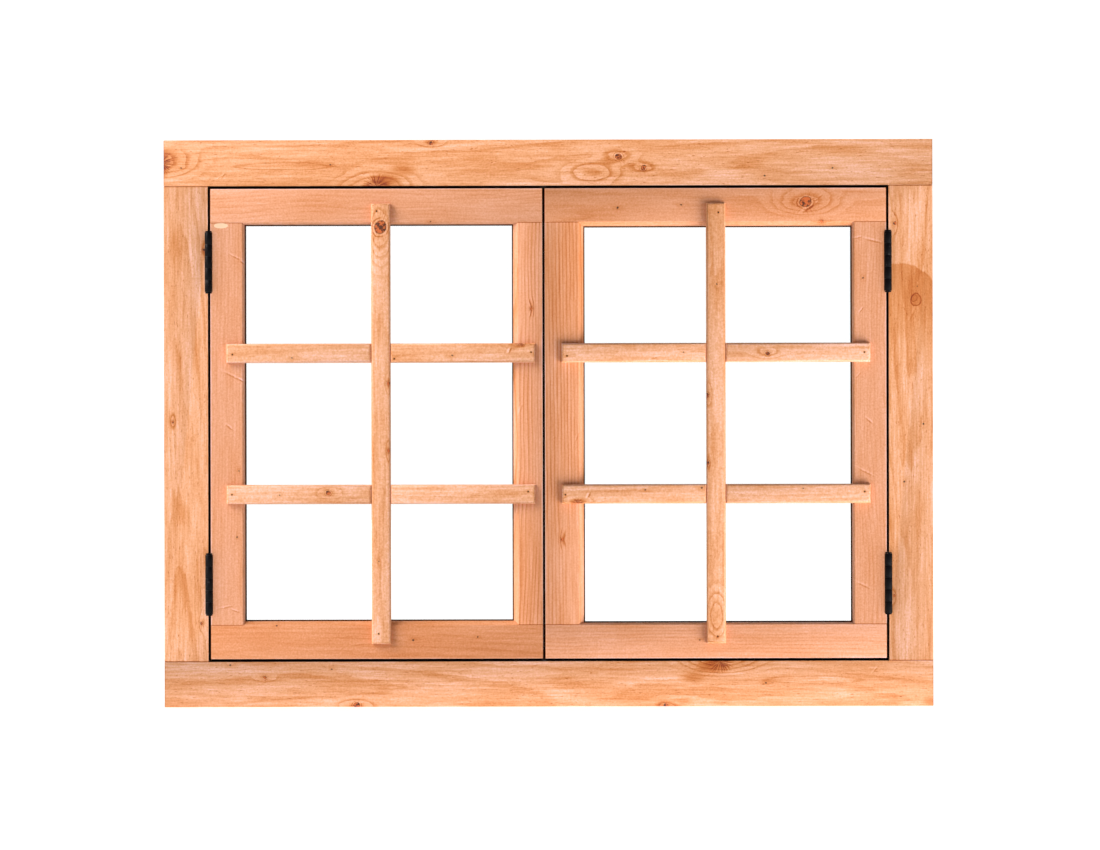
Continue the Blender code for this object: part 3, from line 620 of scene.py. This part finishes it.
def gap_shade_mask(board, grain):
    """Where the gaps get painted shade: 1 on the faces inside the gaps round the closed sashes, and 0
    on all others.
    """
    if board.kind == "sash":
        return sash_beyond(board, grain).ramp(-GAP_SHADE_SKIN, -GAP_SHADE_SKIN / 2)
    beyond = rim_distance(grain.x, grain.z, *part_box("frame_seal"))
    opening = beyond.ramp(SEAL_INSET + GAP_SHADE_SKIN, SEAL_INSET + GAP_SHADE_SKIN / 2)
    return opening * grain.depth.ramp(REBATE_DEPTH + 1, REBATE_DEPTH + 0.5)


def front_face_span(board):
    """Where a board's front face lies, and where it starts and ends along the grain."""
    corners = [vertex.co / MM for vertex in NODES[board.node].data.vertices]
    front = min(corner.y for corner in corners)
    axis = "XYZ".index(board.axis)
    places = [corner[axis] for corner in corners if corner.y < front + 0.01]
    return front, min(places), max(places)


def ring_growth(board, grain):
    """How far a point lies from the pith, in millimetres, with the wander of a grown tree."""
    wander = grain.drawn_noise(0.0030, 0.016, detail=1)
    side = grain.across - (board.pith[0] + wander * 20 - 10) - grain.along * board.tilt[0]
    under = grain.depth - board.pith[1] - grain.along * board.tilt[1]
    return side.math("SQRT", side * side + under * under) + grain.ripple * 2.6 + wander * 14


def bearing_noise(place, middle, scale, roughness):
    """Noise that changes only with the direction seen from a middle, for rays and spokes."""
    offset = add_node(place.tree, "ShaderNodeVectorMath", {0: place, 1: middle}, operation="SUBTRACT")
    bearing = add_node(place.tree, "ShaderNodeVectorMath", {0: offset}, operation="NORMALIZE")
    return noise(bearing, scale=scale, detail=3, roughness=roughness)


def knot_shade(board, grain, shade, grown):
    """Lifts the rings round each knot and draws its rays or spokes. Also returns how near a point
    is to each heart and each pin knot, in radii, and how strongly the grain bends there."""
    flow_place = vector(grain.along / FLOW_STRETCH, grain.across, 0)
    heart_place = vector(grain.along / KNOT_STRETCH + grain.jitter, grain.across + grain.jitter, 0)
    hearts, pins, bend = [], [], None
    for knot in board.all_of(Knot):
        reach = distance(flow_place, knot_place(board, knot, FLOW_STRETCH))
        flow = reach.ramp(knot.radius * FLOW_REACH[knot.kind], 0)
        grown = grown + flow * (knot.radius * FLOW_HEIGHT[knot.kind])
        shade = shade - flow * flow * FLOW_SHADE[knot.kind]
        if knot.kind != PIN:
            bend = flow if bend is None else bend.larger(flow)
        if knot.kind == SWIRL:
            continue
        middle = knot_place(board, knot, KNOT_STRETCH)
        near = distance(heart_place, middle) / knot.radius
        if knot.kind == PIN:
            pins.append(near)
        elif knot.kind == FAN:
            spokes = bearing_noise(heart_place, middle, 9, 0.6).ramp(0.44, 0.56)
            shade = shade - spokes * near.ramp(2.7, 0.7) * 0.70
        else:
            rays = bearing_noise(heart_place, middle, 4.5, 0.7).ramp(0.46, 0.66)
            pale_ring = near.ramp(1.0, 1.1) * near.ramp(1.35, 1.2)
            dark_arcs = near.ramp(1.25, 1.38) * near.ramp(1.62, 1.45) * grain.ripple.ramp(0.35, 0.6)
            shade = shade - rays * near.ramp(3.4, 0.9) * 0.20 + pale_ring * 0.05 - dark_arcs * 0.26
            hearts.append(near)
    return shade, grown, hearts, pins, bend


def grain_shade(board, grain, shade, grown, bend):
    """Draws the rings, clouds, streaks, fibres and flecks. Also returns the lines of the rings."""
    look = board.character
    turn = (grown / board.ring).fraction()
    line = turn.ramp(0.45, 0.92) * turn.ramp(1.0, 0.94)
    presence = grain.shifted_noise(0.005, 0.04).ramp(0.30, 0.62, 0.25)
    if bend:
        presence = presence + bend.ramp(0.05, 0.5) * 1.1
    cloud = grain.drawn_noise(0.007, 0.035)
    streak = grain.drawn_noise(0.012, 0.26, detail=3, roughness=0.55)
    fleck = grain.shifted_noise(0.13, 0.75).ramp(0.66, 0.76)
    shade = shade - line * presence * look.line - fleck * look.fleck + (cloud - 0.5) * look.cloud
    return shade + (streak - 0.5) * look.streak + (grain.fibre - 0.5) * look.fibre, line


def marked_shade(board, grain, shade):
    """Draws the scars, the steps and the patches of a board."""
    for scar in board.all_of(Streak):
        shade = shade + streak_shade(grain.x, grain.z + (grain.mottle - 0.5) * 3, scar)
    for step in board.all_of(Step):
        place = grain.along + grain.jitter
        shade = shade * place.ramp(step.place - 1, step.place + 1, 1.0, step.tone)
    for patch in board.all_of(Patch):
        x, z = grain.x + grain.jitter, grain.z + grain.jitter
        shade = shade * (patch_mask(x, z, patch) * (patch.tone - 1.0) + 1.0)
        if patch.rim:
            reach = patch_reach(x, z, patch)
            shade = shade - reach.ramp(0.78, 0.94) * reach.ramp(1.12, 0.98) * patch.rim
    return shade


def worked_shade(board, grain, shade):
    """Draws the fine line at a board's ends, the dents round its brads and the painted highlight along
    the sashes' outer edges.
    """
    front, start, end = front_face_span(board)
    past_end = (grain.along - (start + end) / 2).size() - (end - start) / 2
    seam = past_end.ramp(-1.4, -0.3) * past_end.ramp(1.2, 0.3) * grain.depth.ramp(front + 3, front + 2)
    shade = shade - seam * (BAR_END_SHADE if board.kind == "bar" else JOINT_SHADE)
    for brad in BRADS.get(board.node, ()):
        dent = distance(vector(grain.x, grain.z, 0), (*brad, 0)).ramp(3.0, 1.2)
        shade = shade - dent * BRAD_DENT
    # Painted highlight: the sashes' outer edges are made paler, as if lit.
    if board.kind == "sash" and not board.is_bead:
        shade = shade + sash_beyond(board, grain).ramp(-2.6, -0.8) * ARRIS_HIGHLIGHT
    return shade


def wood_colour(board, grain, timber, shade, hearts, pins):
    """The colour of a shade, with the knots' hearts, the filled flaw and the painted shade of the gaps
    on top.
    """
    shade = shade.larger(DARKEST)
    green, blue = (shade.math("POWER", shade, power) for power in DIMMING)
    dimming = add_node(shade.tree, "ShaderNodeCombineColor", {0: shade, 1: green, 2: blue})
    colour = mix((*getattr(timber, f"{board.kind}_wood"), 1), dimming, 1.0, mode="MULTIPLY")
    red, dark = (*timber.knot_red, 1), (*timber.knot_dark, 1)
    spots = grain.spot_noise(0.17, roughness=0.7).ramp(0.46, 0.56)
    for near in hearts:
        heart = mix(red, dark, spots.larger(near.ramp(0.80, 0.95) * 0.8) * 0.9)
        colour = mix(colour, heart, near.ramp(1.05, 0.92))
    for near in pins:
        colour = mix(colour, dark, near.ramp(1.15, 0.6) * 0.9)
    if board.node == FILLED_BOARD:
        front = front_face_span(board)[0]
        plug = patch_mask(grain.x + grain.jitter * 0.5, grain.z, FILLER_PLUG)
        plug = plug * grain.depth.ramp(front + FILLER_DEPTH, front + FILLER_DEPTH - 1)
        colour = mix(colour, (*timber.filler, 1), plug * 0.9)
    # Painted shade: the faces inside the gaps round the sashes take a near-black colour for the shade
    # in the gaps.
    if board.kind != "bar" and not board.is_bead:
        colour = mix(colour, (*timber.painted_gap_shade, 1), gap_shade_mask(board, grain))
    return colour


def timber_material(board, timber):
    """Oiled softwood as a solid pattern. One shade runs through it all: where it falls, red
    dims a little, green more and blue most, as in oiled pine."""
    material, tree, shader = new_material(f"{board.node}_wood")
    grain = Grain(board, tree)
    mottling = board.character.mottle
    shade = grain.mottle * mottling + (board.tone - mottling * 0.5)
    shade, grown, hearts, pins, bend = knot_shade(board, grain, shade, ring_growth(board, grain))
    shade, line = grain_shade(board, grain, shade, grown, bend)
    shade = worked_shade(board, grain, marked_shade(board, grain, shade))
    relief = grain.fibre * 0.5 + grain.mottle * 0.6 - line * 0.3
    feed(
        shader,
        Base_Color=wood_colour(board, grain, timber, shade, hearts, pins),
        Roughness=(grain.fibre - 0.5) * 0.25 + 0.54,
        IOR=1.45,
        Specular_IOR_Level=0.50,
        Normal=bump(relief, 0.30, 0.0006),
    )
    return material


# Making pieces


def settings():
    scene = bpy.context.scene
    return scene.window_timber, scene.window_hardware, scene.window_stage


def only(obj):
    """Selects one object and nothing else."""
    if bpy.context.mode != "OBJECT":
        bpy.ops.object.mode_set(mode="OBJECT")
    bpy.ops.object.select_all(action="DESELECT")
    obj.select_set(True)
    bpy.context.view_layer.objects.active = obj


def settle(obj):
    """Puts a piece's place into its mesh and leaves its object at the origin."""
    only(obj)
    bpy.ops.object.transform_apply(location=True, rotation=True, scale=True)


def hold(obj, node, material, name=None):
    """Finishes a piece: its material and its body."""
    obj.data.materials.clear()
    obj.data.materials.append(material)
    if name:
        obj.name = obj.data.name = name
    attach(obj, BODY_OF[node])


def eased_copy(node, name, width, shortest, least_angle=25, smooth=30):
    """A merged copy of a CAD node with its long outer edges rounded, which stands for that node."""
    piece = bpy.data.objects.new(name, NODES[node].data.copy())
    bpy.context.scene.collection.objects.link(piece)
    only(piece)
    bpy.ops.object.mode_set(mode="EDIT")
    bpy.ops.mesh.select_mode(type="EDGE")
    bpy.ops.mesh.select_all(action="SELECT")
    bpy.ops.mesh.remove_doubles(threshold=1e-5)
    bpy.ops.mesh.dissolve_limited(angle_limit=CLEAN_ANGLE)
    bpy.ops.mesh.select_all(action="DESELECT")
    solid = bmesh.from_edit_mesh(piece.data)
    for edge in solid.edges:
        if len(edge.link_faces) == 2 and edge.calc_length() > shortest:
            edge.select = edge.calc_face_angle_signed() > math.radians(least_angle)
    bmesh.update_edit_mesh(piece.data)
    bpy.ops.mesh.bevel(offset=width, segments=2, affect="EDGES", clamp_overlap=True)
    bpy.ops.object.mode_set(mode="OBJECT")
    bpy.ops.object.shade_smooth_by_angle(angle=math.radians(smooth))
    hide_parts(node)
    return piece


def build_boards(boards, shortest=0.018):
    timber = settings()[0]
    for board in boards:
        piece = eased_copy(board.node, f"{board.node}_timber", timber.arris, shortest)
        hold(piece, board.node, timber_material(board, timber))


class WINDOW_OT_frame(bpy.types.Operator):
    """Builds head, sill and jambs with eased arrises and grain"""

    bl_idname = "window.frame"
    bl_label = "Frame Timber"

    def execute(self, context):
        build_boards(FRAME_BOARDS)
        return {"FINISHED"}


class WINDOW_OT_sashes(bpy.types.Operator):
    """Builds the rails, stiles and glazing beads of both sashes"""

    bl_idname = "window.sashes"
    bl_label = "Sash Timber"

    def execute(self, context):
        build_boards(SASH_BOARDS)
        build_boards(BEAD_BOARDS)
        return {"FINISHED"}


class WINDOW_OT_bars(bpy.types.Operator):
    """Builds the planted glazing bars"""

    bl_idname = "window.bars"
    bl_label = "Glazing Bars"

    def execute(self, context):
        build_boards(BAR_BOARDS)
        return {"FINISHED"}


class WINDOW_OT_brads(bpy.types.Operator):
    """Builds one brad and pins the glazing bars with copies of it"""

    bl_idname = "window.brads"
    bl_label = "Brads"

    def execute(self, context):
        hardware = settings()[1]
        material = steel_material("brad_steel", hardware)
        pattern = brad_pattern(hardware.brad_radius)
        for node, places in BRADS.items():
            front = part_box(node)[0][1]
            for number, (x, z) in enumerate(places, 1):
                brad = placed_copy(pattern, (x * MM, front, z * MM))
                hold(brad, node, material, f"{node}_brad_{number}")
        bpy.data.objects.remove(pattern)
        return {"FINISHED"}


def placed_copy(pattern, place):
    """A copy with a mesh of its own, moved to its place."""
    piece = pattern.copy()
    piece.data = pattern.data.copy()
    bpy.context.scene.collection.objects.link(piece)
    piece.location = place
    settle(piece)
    return piece


def pick_faces(obj, side):
    """Selects, in edit mode, the faces that look straight outwards (side -1) or inwards (side 1)."""
    bpy.ops.object.mode_set(mode="EDIT")
    bpy.ops.mesh.select_mode(type="FACE")
    bpy.ops.mesh.select_all(action="DESELECT")
    solid = bmesh.from_edit_mesh(obj.data)
    for face in solid.faces:
        face.select = face.normal.y * side > 0.9
    bmesh.update_edit_mesh(obj.data)


def brad_pattern(radius):
    """A low domed head with a punched dimple, facing outwards from the origin, on a short shank."""
    bpy.ops.object.select_all(action="DESELECT")
    bpy.ops.mesh.primitive_cylinder_add(
        vertices=16, radius=radius, depth=BRAD_LENGTH, location=(0, BRAD_SINK, 0),
        rotation=(math.pi / 2, 0, 0),
    )
    brad = bpy.context.object
    settle(brad)
    pick_faces(brad, -1)
    bpy.ops.mesh.inset(thickness=radius * 0.3)
    bpy.ops.transform.translate(value=(0, -radius * 0.12, 0))
    bpy.ops.mesh.inset(thickness=radius * 0.3)
    bpy.ops.transform.translate(value=(0, radius * 0.2, 0))
    bpy.ops.object.mode_set(mode="OBJECT")
    bpy.ops.object.shade_smooth_by_angle(angle=math.radians(40))
    return brad


class WINDOW_OT_screws(bpy.types.Operator):
    """Builds one screw and fixes the bolts' and the fastener's plates with copies of it"""

    bl_idname = "window.screws"
    bl_label = "Screws"

    def execute(self, context):
        hardware = settings()[1]
        inset = hardware.screw_inset
        material = steel_material("screw_steel", hardware, wear=0.8)
        pattern = screw_pattern(hardware.screw_radius)
        for node in SCREWED_PLATES:
            low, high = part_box(node)
            columns, rows = ((low[axis] + inset, high[axis] - inset) for axis in (0, 2))
            for number, (x, z) in enumerate(product(columns, rows), 1):
                screw = placed_copy(pattern, (x, low[1] + PLATE_THICKNESS, z))
                hold(screw, node, material, f"{node}_screw_{number}")
        bpy.data.objects.remove(pattern)
        return {"FINISHED"}


def screw_pattern(radius):
    """A low pan head with a cross recess, facing inwards from the origin, on a short shank."""
    bpy.ops.object.select_all(action="DESELECT")
    bpy.ops.mesh.primitive_cylinder_add(
        vertices=24, radius=radius, depth=SCREW_LENGTH, rotation=(math.pi / 2, 0, 0)
    )
    screw = bpy.context.object
    settle(screw)
    pick_faces(screw, 1)
    bpy.ops.mesh.inset(thickness=radius * 0.25)
    bpy.ops.transform.translate(value=(0, radius * 0.12, 0))
    bpy.ops.object.mode_set(mode="OBJECT")
    for turn in (45, 135):
        bpy.ops.mesh.primitive_cube_add(
            size=1, location=(0, 2 * RECESS_FLOOR, 0), rotation=(0, math.radians(turn), 0),
            scale=(radius * 1.25, 2 * RECESS_FLOOR, radius * 0.27),
        )
        cutter = bpy.context.object
        recess = screw.modifiers.new("recess", "BOOLEAN")
        recess.operation, recess.solver, recess.object = "DIFFERENCE", "EXACT", cutter
        only(screw)
        bpy.ops.object.modifier_apply(modifier="recess")
        bpy.data.objects.remove(cutter)
    bpy.ops.object.shade_smooth_by_angle(angle=math.radians(35))
    return screw


def steel_material(name, hardware, wear=0.5):
    """Black paint over steel, rubbed a little where it is handled."""
    material, tree, shader = new_material(name)
    x, y, z = object_millimetres(tree)
    grain = noise(vector(x, y, z), scale=1.6, detail=3)
    rub = noise(vector(x * 0.2, y * 0.2, z * 0.12), detail=4, roughness=0.7)
    worn = rub.ramp(0.60, 0.72) * wear
    colour = mix((*hardware.steel, 1), (*hardware.bare, 1), worn * 0.5)
    feed(
        shader,
        Base_Color=colour,
        Roughness=grain * 0.25 + 0.24,
        Metallic=worn * 0.8,
        Specular_IOR_Level=0.12,
        Normal=bump(grain, 0.25, 0.0003),
    )
    return material


def rubber_material(name, rubber):
    """Dull rubber of the given colour, a little paler where dust lies on it."""
    material, tree, shader = new_material(name)
    x, y, z = object_millimetres(tree)
    grain = noise(vector(x, y, z), scale=0.9, detail=4)
    dust = noise(vector(x * 0.05, y * 0.05, z * 0.05), detail=3)
    colour = mix((*rubber, 1), (*[value + 0.01 for value in rubber], 1), dust.ramp(0.5, 0.8))
    feed(
        shader, Base_Color=colour, Roughness=grain * 0.2 + 0.68, Specular_IOR_Level=0.05,
        Normal=bump(grain, 0.2, 0.0003),
    )
    return material


def glass_material(name):
    """Clear float glass: it shows what is behind it, and mirrors more at a low angle."""
    material, tree, shader = new_material(name)
    feed(shader, Base_Color=(0.95, 1.0, 0.98, 1), Metallic=1.0, Roughness=0.015)
    clear = add_node(tree, "ShaderNodeBsdfTransparent", {"Color": (0.985, 0.995, 0.990, 1)})
    edge = add_node(tree, "ShaderNodeFresnel", {"IOR": 1.5})
    mirror = Socket(tree, shader.outputs[0])
    both = add_node(tree, "ShaderNodeMixShader", {0: edge, 1: clear, 2: mirror})
    tree.links.new(both.socket, tree.nodes["Material Output"].inputs["Surface"])
    return material


class WINDOW_OT_glass(bpy.types.Operator):
    """Gives the panes clear glass and the gaskets and seals rubber, and closes the meeting gap"""

    bl_idname = "window.glass"
    bl_label = "Glass and Seals"

    def execute(self, context):
        hardware = settings()[1]
        glass = glass_material("clear_glass_pane")
        rubber = rubber_material("seal_rubber", hardware.rubber)
        gasket = rubber_material("gasket_rubber", hardware.gasket)
        for name, node in NODES.items():
            if SLOT_OF[name] in ("clear_glass", "rubber"):
                soft = gasket if name.endswith("gasket") else rubber
                node.data.materials.clear()
                node.data.materials.append(glass if SLOT_OF[name] == "clear_glass" else soft)
        hold(meeting_strip(), "meeting_seal", rubber)
        return {"FINISHED"}


def meeting_strip():
    """The draught strip between the sashes, widened to touch both, so that no light gets past."""
    strip = eased_copy("meeting_seal", "meeting_strip", STRIP_EASING, 0.1)
    low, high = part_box("meeting_seal")
    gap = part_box("right_meeting_stile")[0][0] - high[0]
    bpy.ops.object.mode_set(mode="EDIT")
    bpy.ops.mesh.select_mode(type="VERT")
    bpy.ops.mesh.select_all(action="DESELECT")
    solid = bmesh.from_edit_mesh(strip.data)
    for vertex in solid.verts:
        vertex.select = vertex.co.x > (low[0] + high[0]) / 2
    bmesh.update_edit_mesh(strip.data)
    bpy.ops.transform.translate(value=(gap - STRIP_GAP, 0, 0))
    bpy.ops.mesh.select_all(action="INVERT")
    bpy.ops.transform.translate(value=(-STRIP_SINK, 0, 0))
    bpy.ops.object.mode_set(mode="OBJECT")
    return strip


class WINDOW_OT_hardware(bpy.types.Operator):
    """Builds hinges, bolts and fastener with rounded edges and black paint"""

    bl_idname = "window.hardware"
    bl_label = "Hardware"

    def execute(self, context):
        hardware = settings()[1]
        material = steel_material("black_paint", hardware)
        for name in sorted(NODES):
            if SLOT_OF[name] == "black_steel":
                piece = eased_copy(
                    name, f"{name}_steel", hardware.easing, 0.0015, least_angle=40, smooth=38
                )
                hold(piece, name, material)
        return {"FINISHED"}


# Stage. The window's two halves are lit from opposite sides, by one key light each.

UPPER_LEFT, LOWER_RIGHT = (-0.72, -0.40, 0.57), (0.72, -0.40, -0.57)
HALF_LINE = -0.002  # pieces whose middle lies left of this belong to the left half


def key_light(name, towards, stage, lit):
    """A soft key light from one side for the pieces given. Hinges cast no shadow from it."""
    lamp = bpy.data.lights.new(name, "SUN")
    lamp.energy, lamp.angle = stage.key, stage.key_softness
    obj = bpy.data.objects.new(name, lamp)
    bpy.context.scene.collection.objects.link(obj)
    obj.location = Vector(towards) * 2
    obj.rotation_euler = Vector(towards).to_track_quat("Z", "Y").to_euler()
    receivers = bpy.data.collections.new(f"lit_by_{name}")
    blockers = bpy.data.collections.new(f"shading_{name}")
    for piece in lit:
        receivers.objects.link(piece)
        if "hinge_pin" not in piece.name and "leaf" not in piece.name:
            blockers.objects.link(piece)
    obj.light_linking.receiver_collection = receivers
    obj.light_linking.blocker_collection = blockers


def studio_world(stage):
    """A studio that is white behind the window and softer in front of it."""
    world = bpy.data.worlds.new("studio")
    bpy.context.scene.world = world
    world.use_nodes = True
    tree = world.node_tree
    direction = add_node(tree, "ShaderNodeTexCoord", out="Generated")
    split = add_node(tree, "ShaderNodeSeparateXYZ", {0: direction}, out="Y")
    strength = split.ramp(-0.25, 0.25, stage.room, stage.backdrop)
    shader = tree.nodes["Background"]
    shader.inputs["Color"].default_value = (1, 1, 1, 1)
    tree.links.new(strength.socket, shader.inputs["Strength"])


class WINDOW_OT_stage(bpy.types.Operator):
    """Sets the floor, the studio light and the camera square to the window"""

    bl_idname = "window.stage"
    bl_label = "Stage"

    def execute(self, context):
        stage = settings()[2]
        low, high = WINDOW_LOW, WINDOW_HIGH
        middle = (low + high) / 2
        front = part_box("head")[0][1]
        bpy.ops.object.select_all(action="DESELECT")
        bpy.ops.mesh.primitive_plane_add(size=16, location=(0, 0, low.z - FLOOR_DROP))
        floor = bpy.context.object
        floor.name = "studio_floor"
        material, _, shader = new_material("pale_floor")
        feed(
            shader, Base_Color=(0.5, 0.5, 0.5, 1), Roughness=0.9,
            Emission_Color=(1, 1, 1, 1), Emission_Strength=0.86,
        )
        floor.data.materials.append(material)
        studio_world(stage)
        pieces = [obj for obj in bpy.data.objects if obj.type == "MESH" and obj is not floor]
        upper = [obj for obj in pieces if mesh_middle_x(obj) < HALF_LINE or obj.name.startswith("head")]
        lower = [obj for obj in pieces if obj not in upper]
        key_light("upper_left_key", UPPER_LEFT, stage, upper)
        key_light("lower_right_key", LOWER_RIGHT, stage, lower)
        camera = bpy.data.objects.new("camera", bpy.data.cameras.new("camera"))
        context.scene.collection.objects.link(camera)
        camera.data.lens = stage.lens
        camera.data.sensor_width = 36
        camera.location = (0.0023, front - stage.distance, middle.z - 0.003)
        camera.rotation_euler = (math.pi / 2, stage.roll, 0)
        context.scene.camera = camera
        context.scene.view_settings.view_transform = "Standard"
        return {"FINISHED"}


def mesh_middle_x(obj):
    xs = [corner[0] for corner in obj.bound_box]
    return (min(xs) + max(xs)) / 2


# Panel and registration


class WINDOW_PT_panel(bpy.types.Panel):
    bl_idname = "WINDOW_PT_panel"
    bl_label = "Casement Window"
    bl_space_type = "VIEW_3D"
    bl_region_type = "UI"
    bl_category = "Casement"

    def draw(self, context):
        layout = self.layout
        for group in ("window_timber", "window_hardware", "window_stage"):
            box = layout.box()
            values = getattr(context.scene, group)
            for name in values.bl_rna.properties.keys():
                if name not in ("rna_type", "name"):
                    box.prop(values, name)
        for operator in OPERATORS:
            layout.operator(operator.bl_idname)


GROUPS = {"window_timber": WindowTimber, "window_hardware": WindowHardware, "window_stage": WindowStage}
OPERATORS = (
    WINDOW_OT_frame, WINDOW_OT_sashes, WINDOW_OT_bars, WINDOW_OT_brads, WINDOW_OT_screws,
    WINDOW_OT_glass, WINDOW_OT_hardware, WINDOW_OT_stage,
)
CLASSES = (*GROUPS.values(), *OPERATORS, WINDOW_PT_panel)


def register():
    for item in CLASSES:
        bpy.utils.register_class(item)
    for name, group in GROUPS.items():
        setattr(bpy.types.Scene, name, PointerProperty(type=group))


def unregister():
    for name in GROUPS:
        delattr(bpy.types.Scene, name)
    for item in reversed(CLASSES):
        bpy.utils.unregister_class(item)


def main():
    register()
    for operator in OPERATORS:
        group, name = operator.bl_idname.split(".")
        getattr(getattr(bpy.ops, group), name)()


if __name__ == "__main__":
    main()
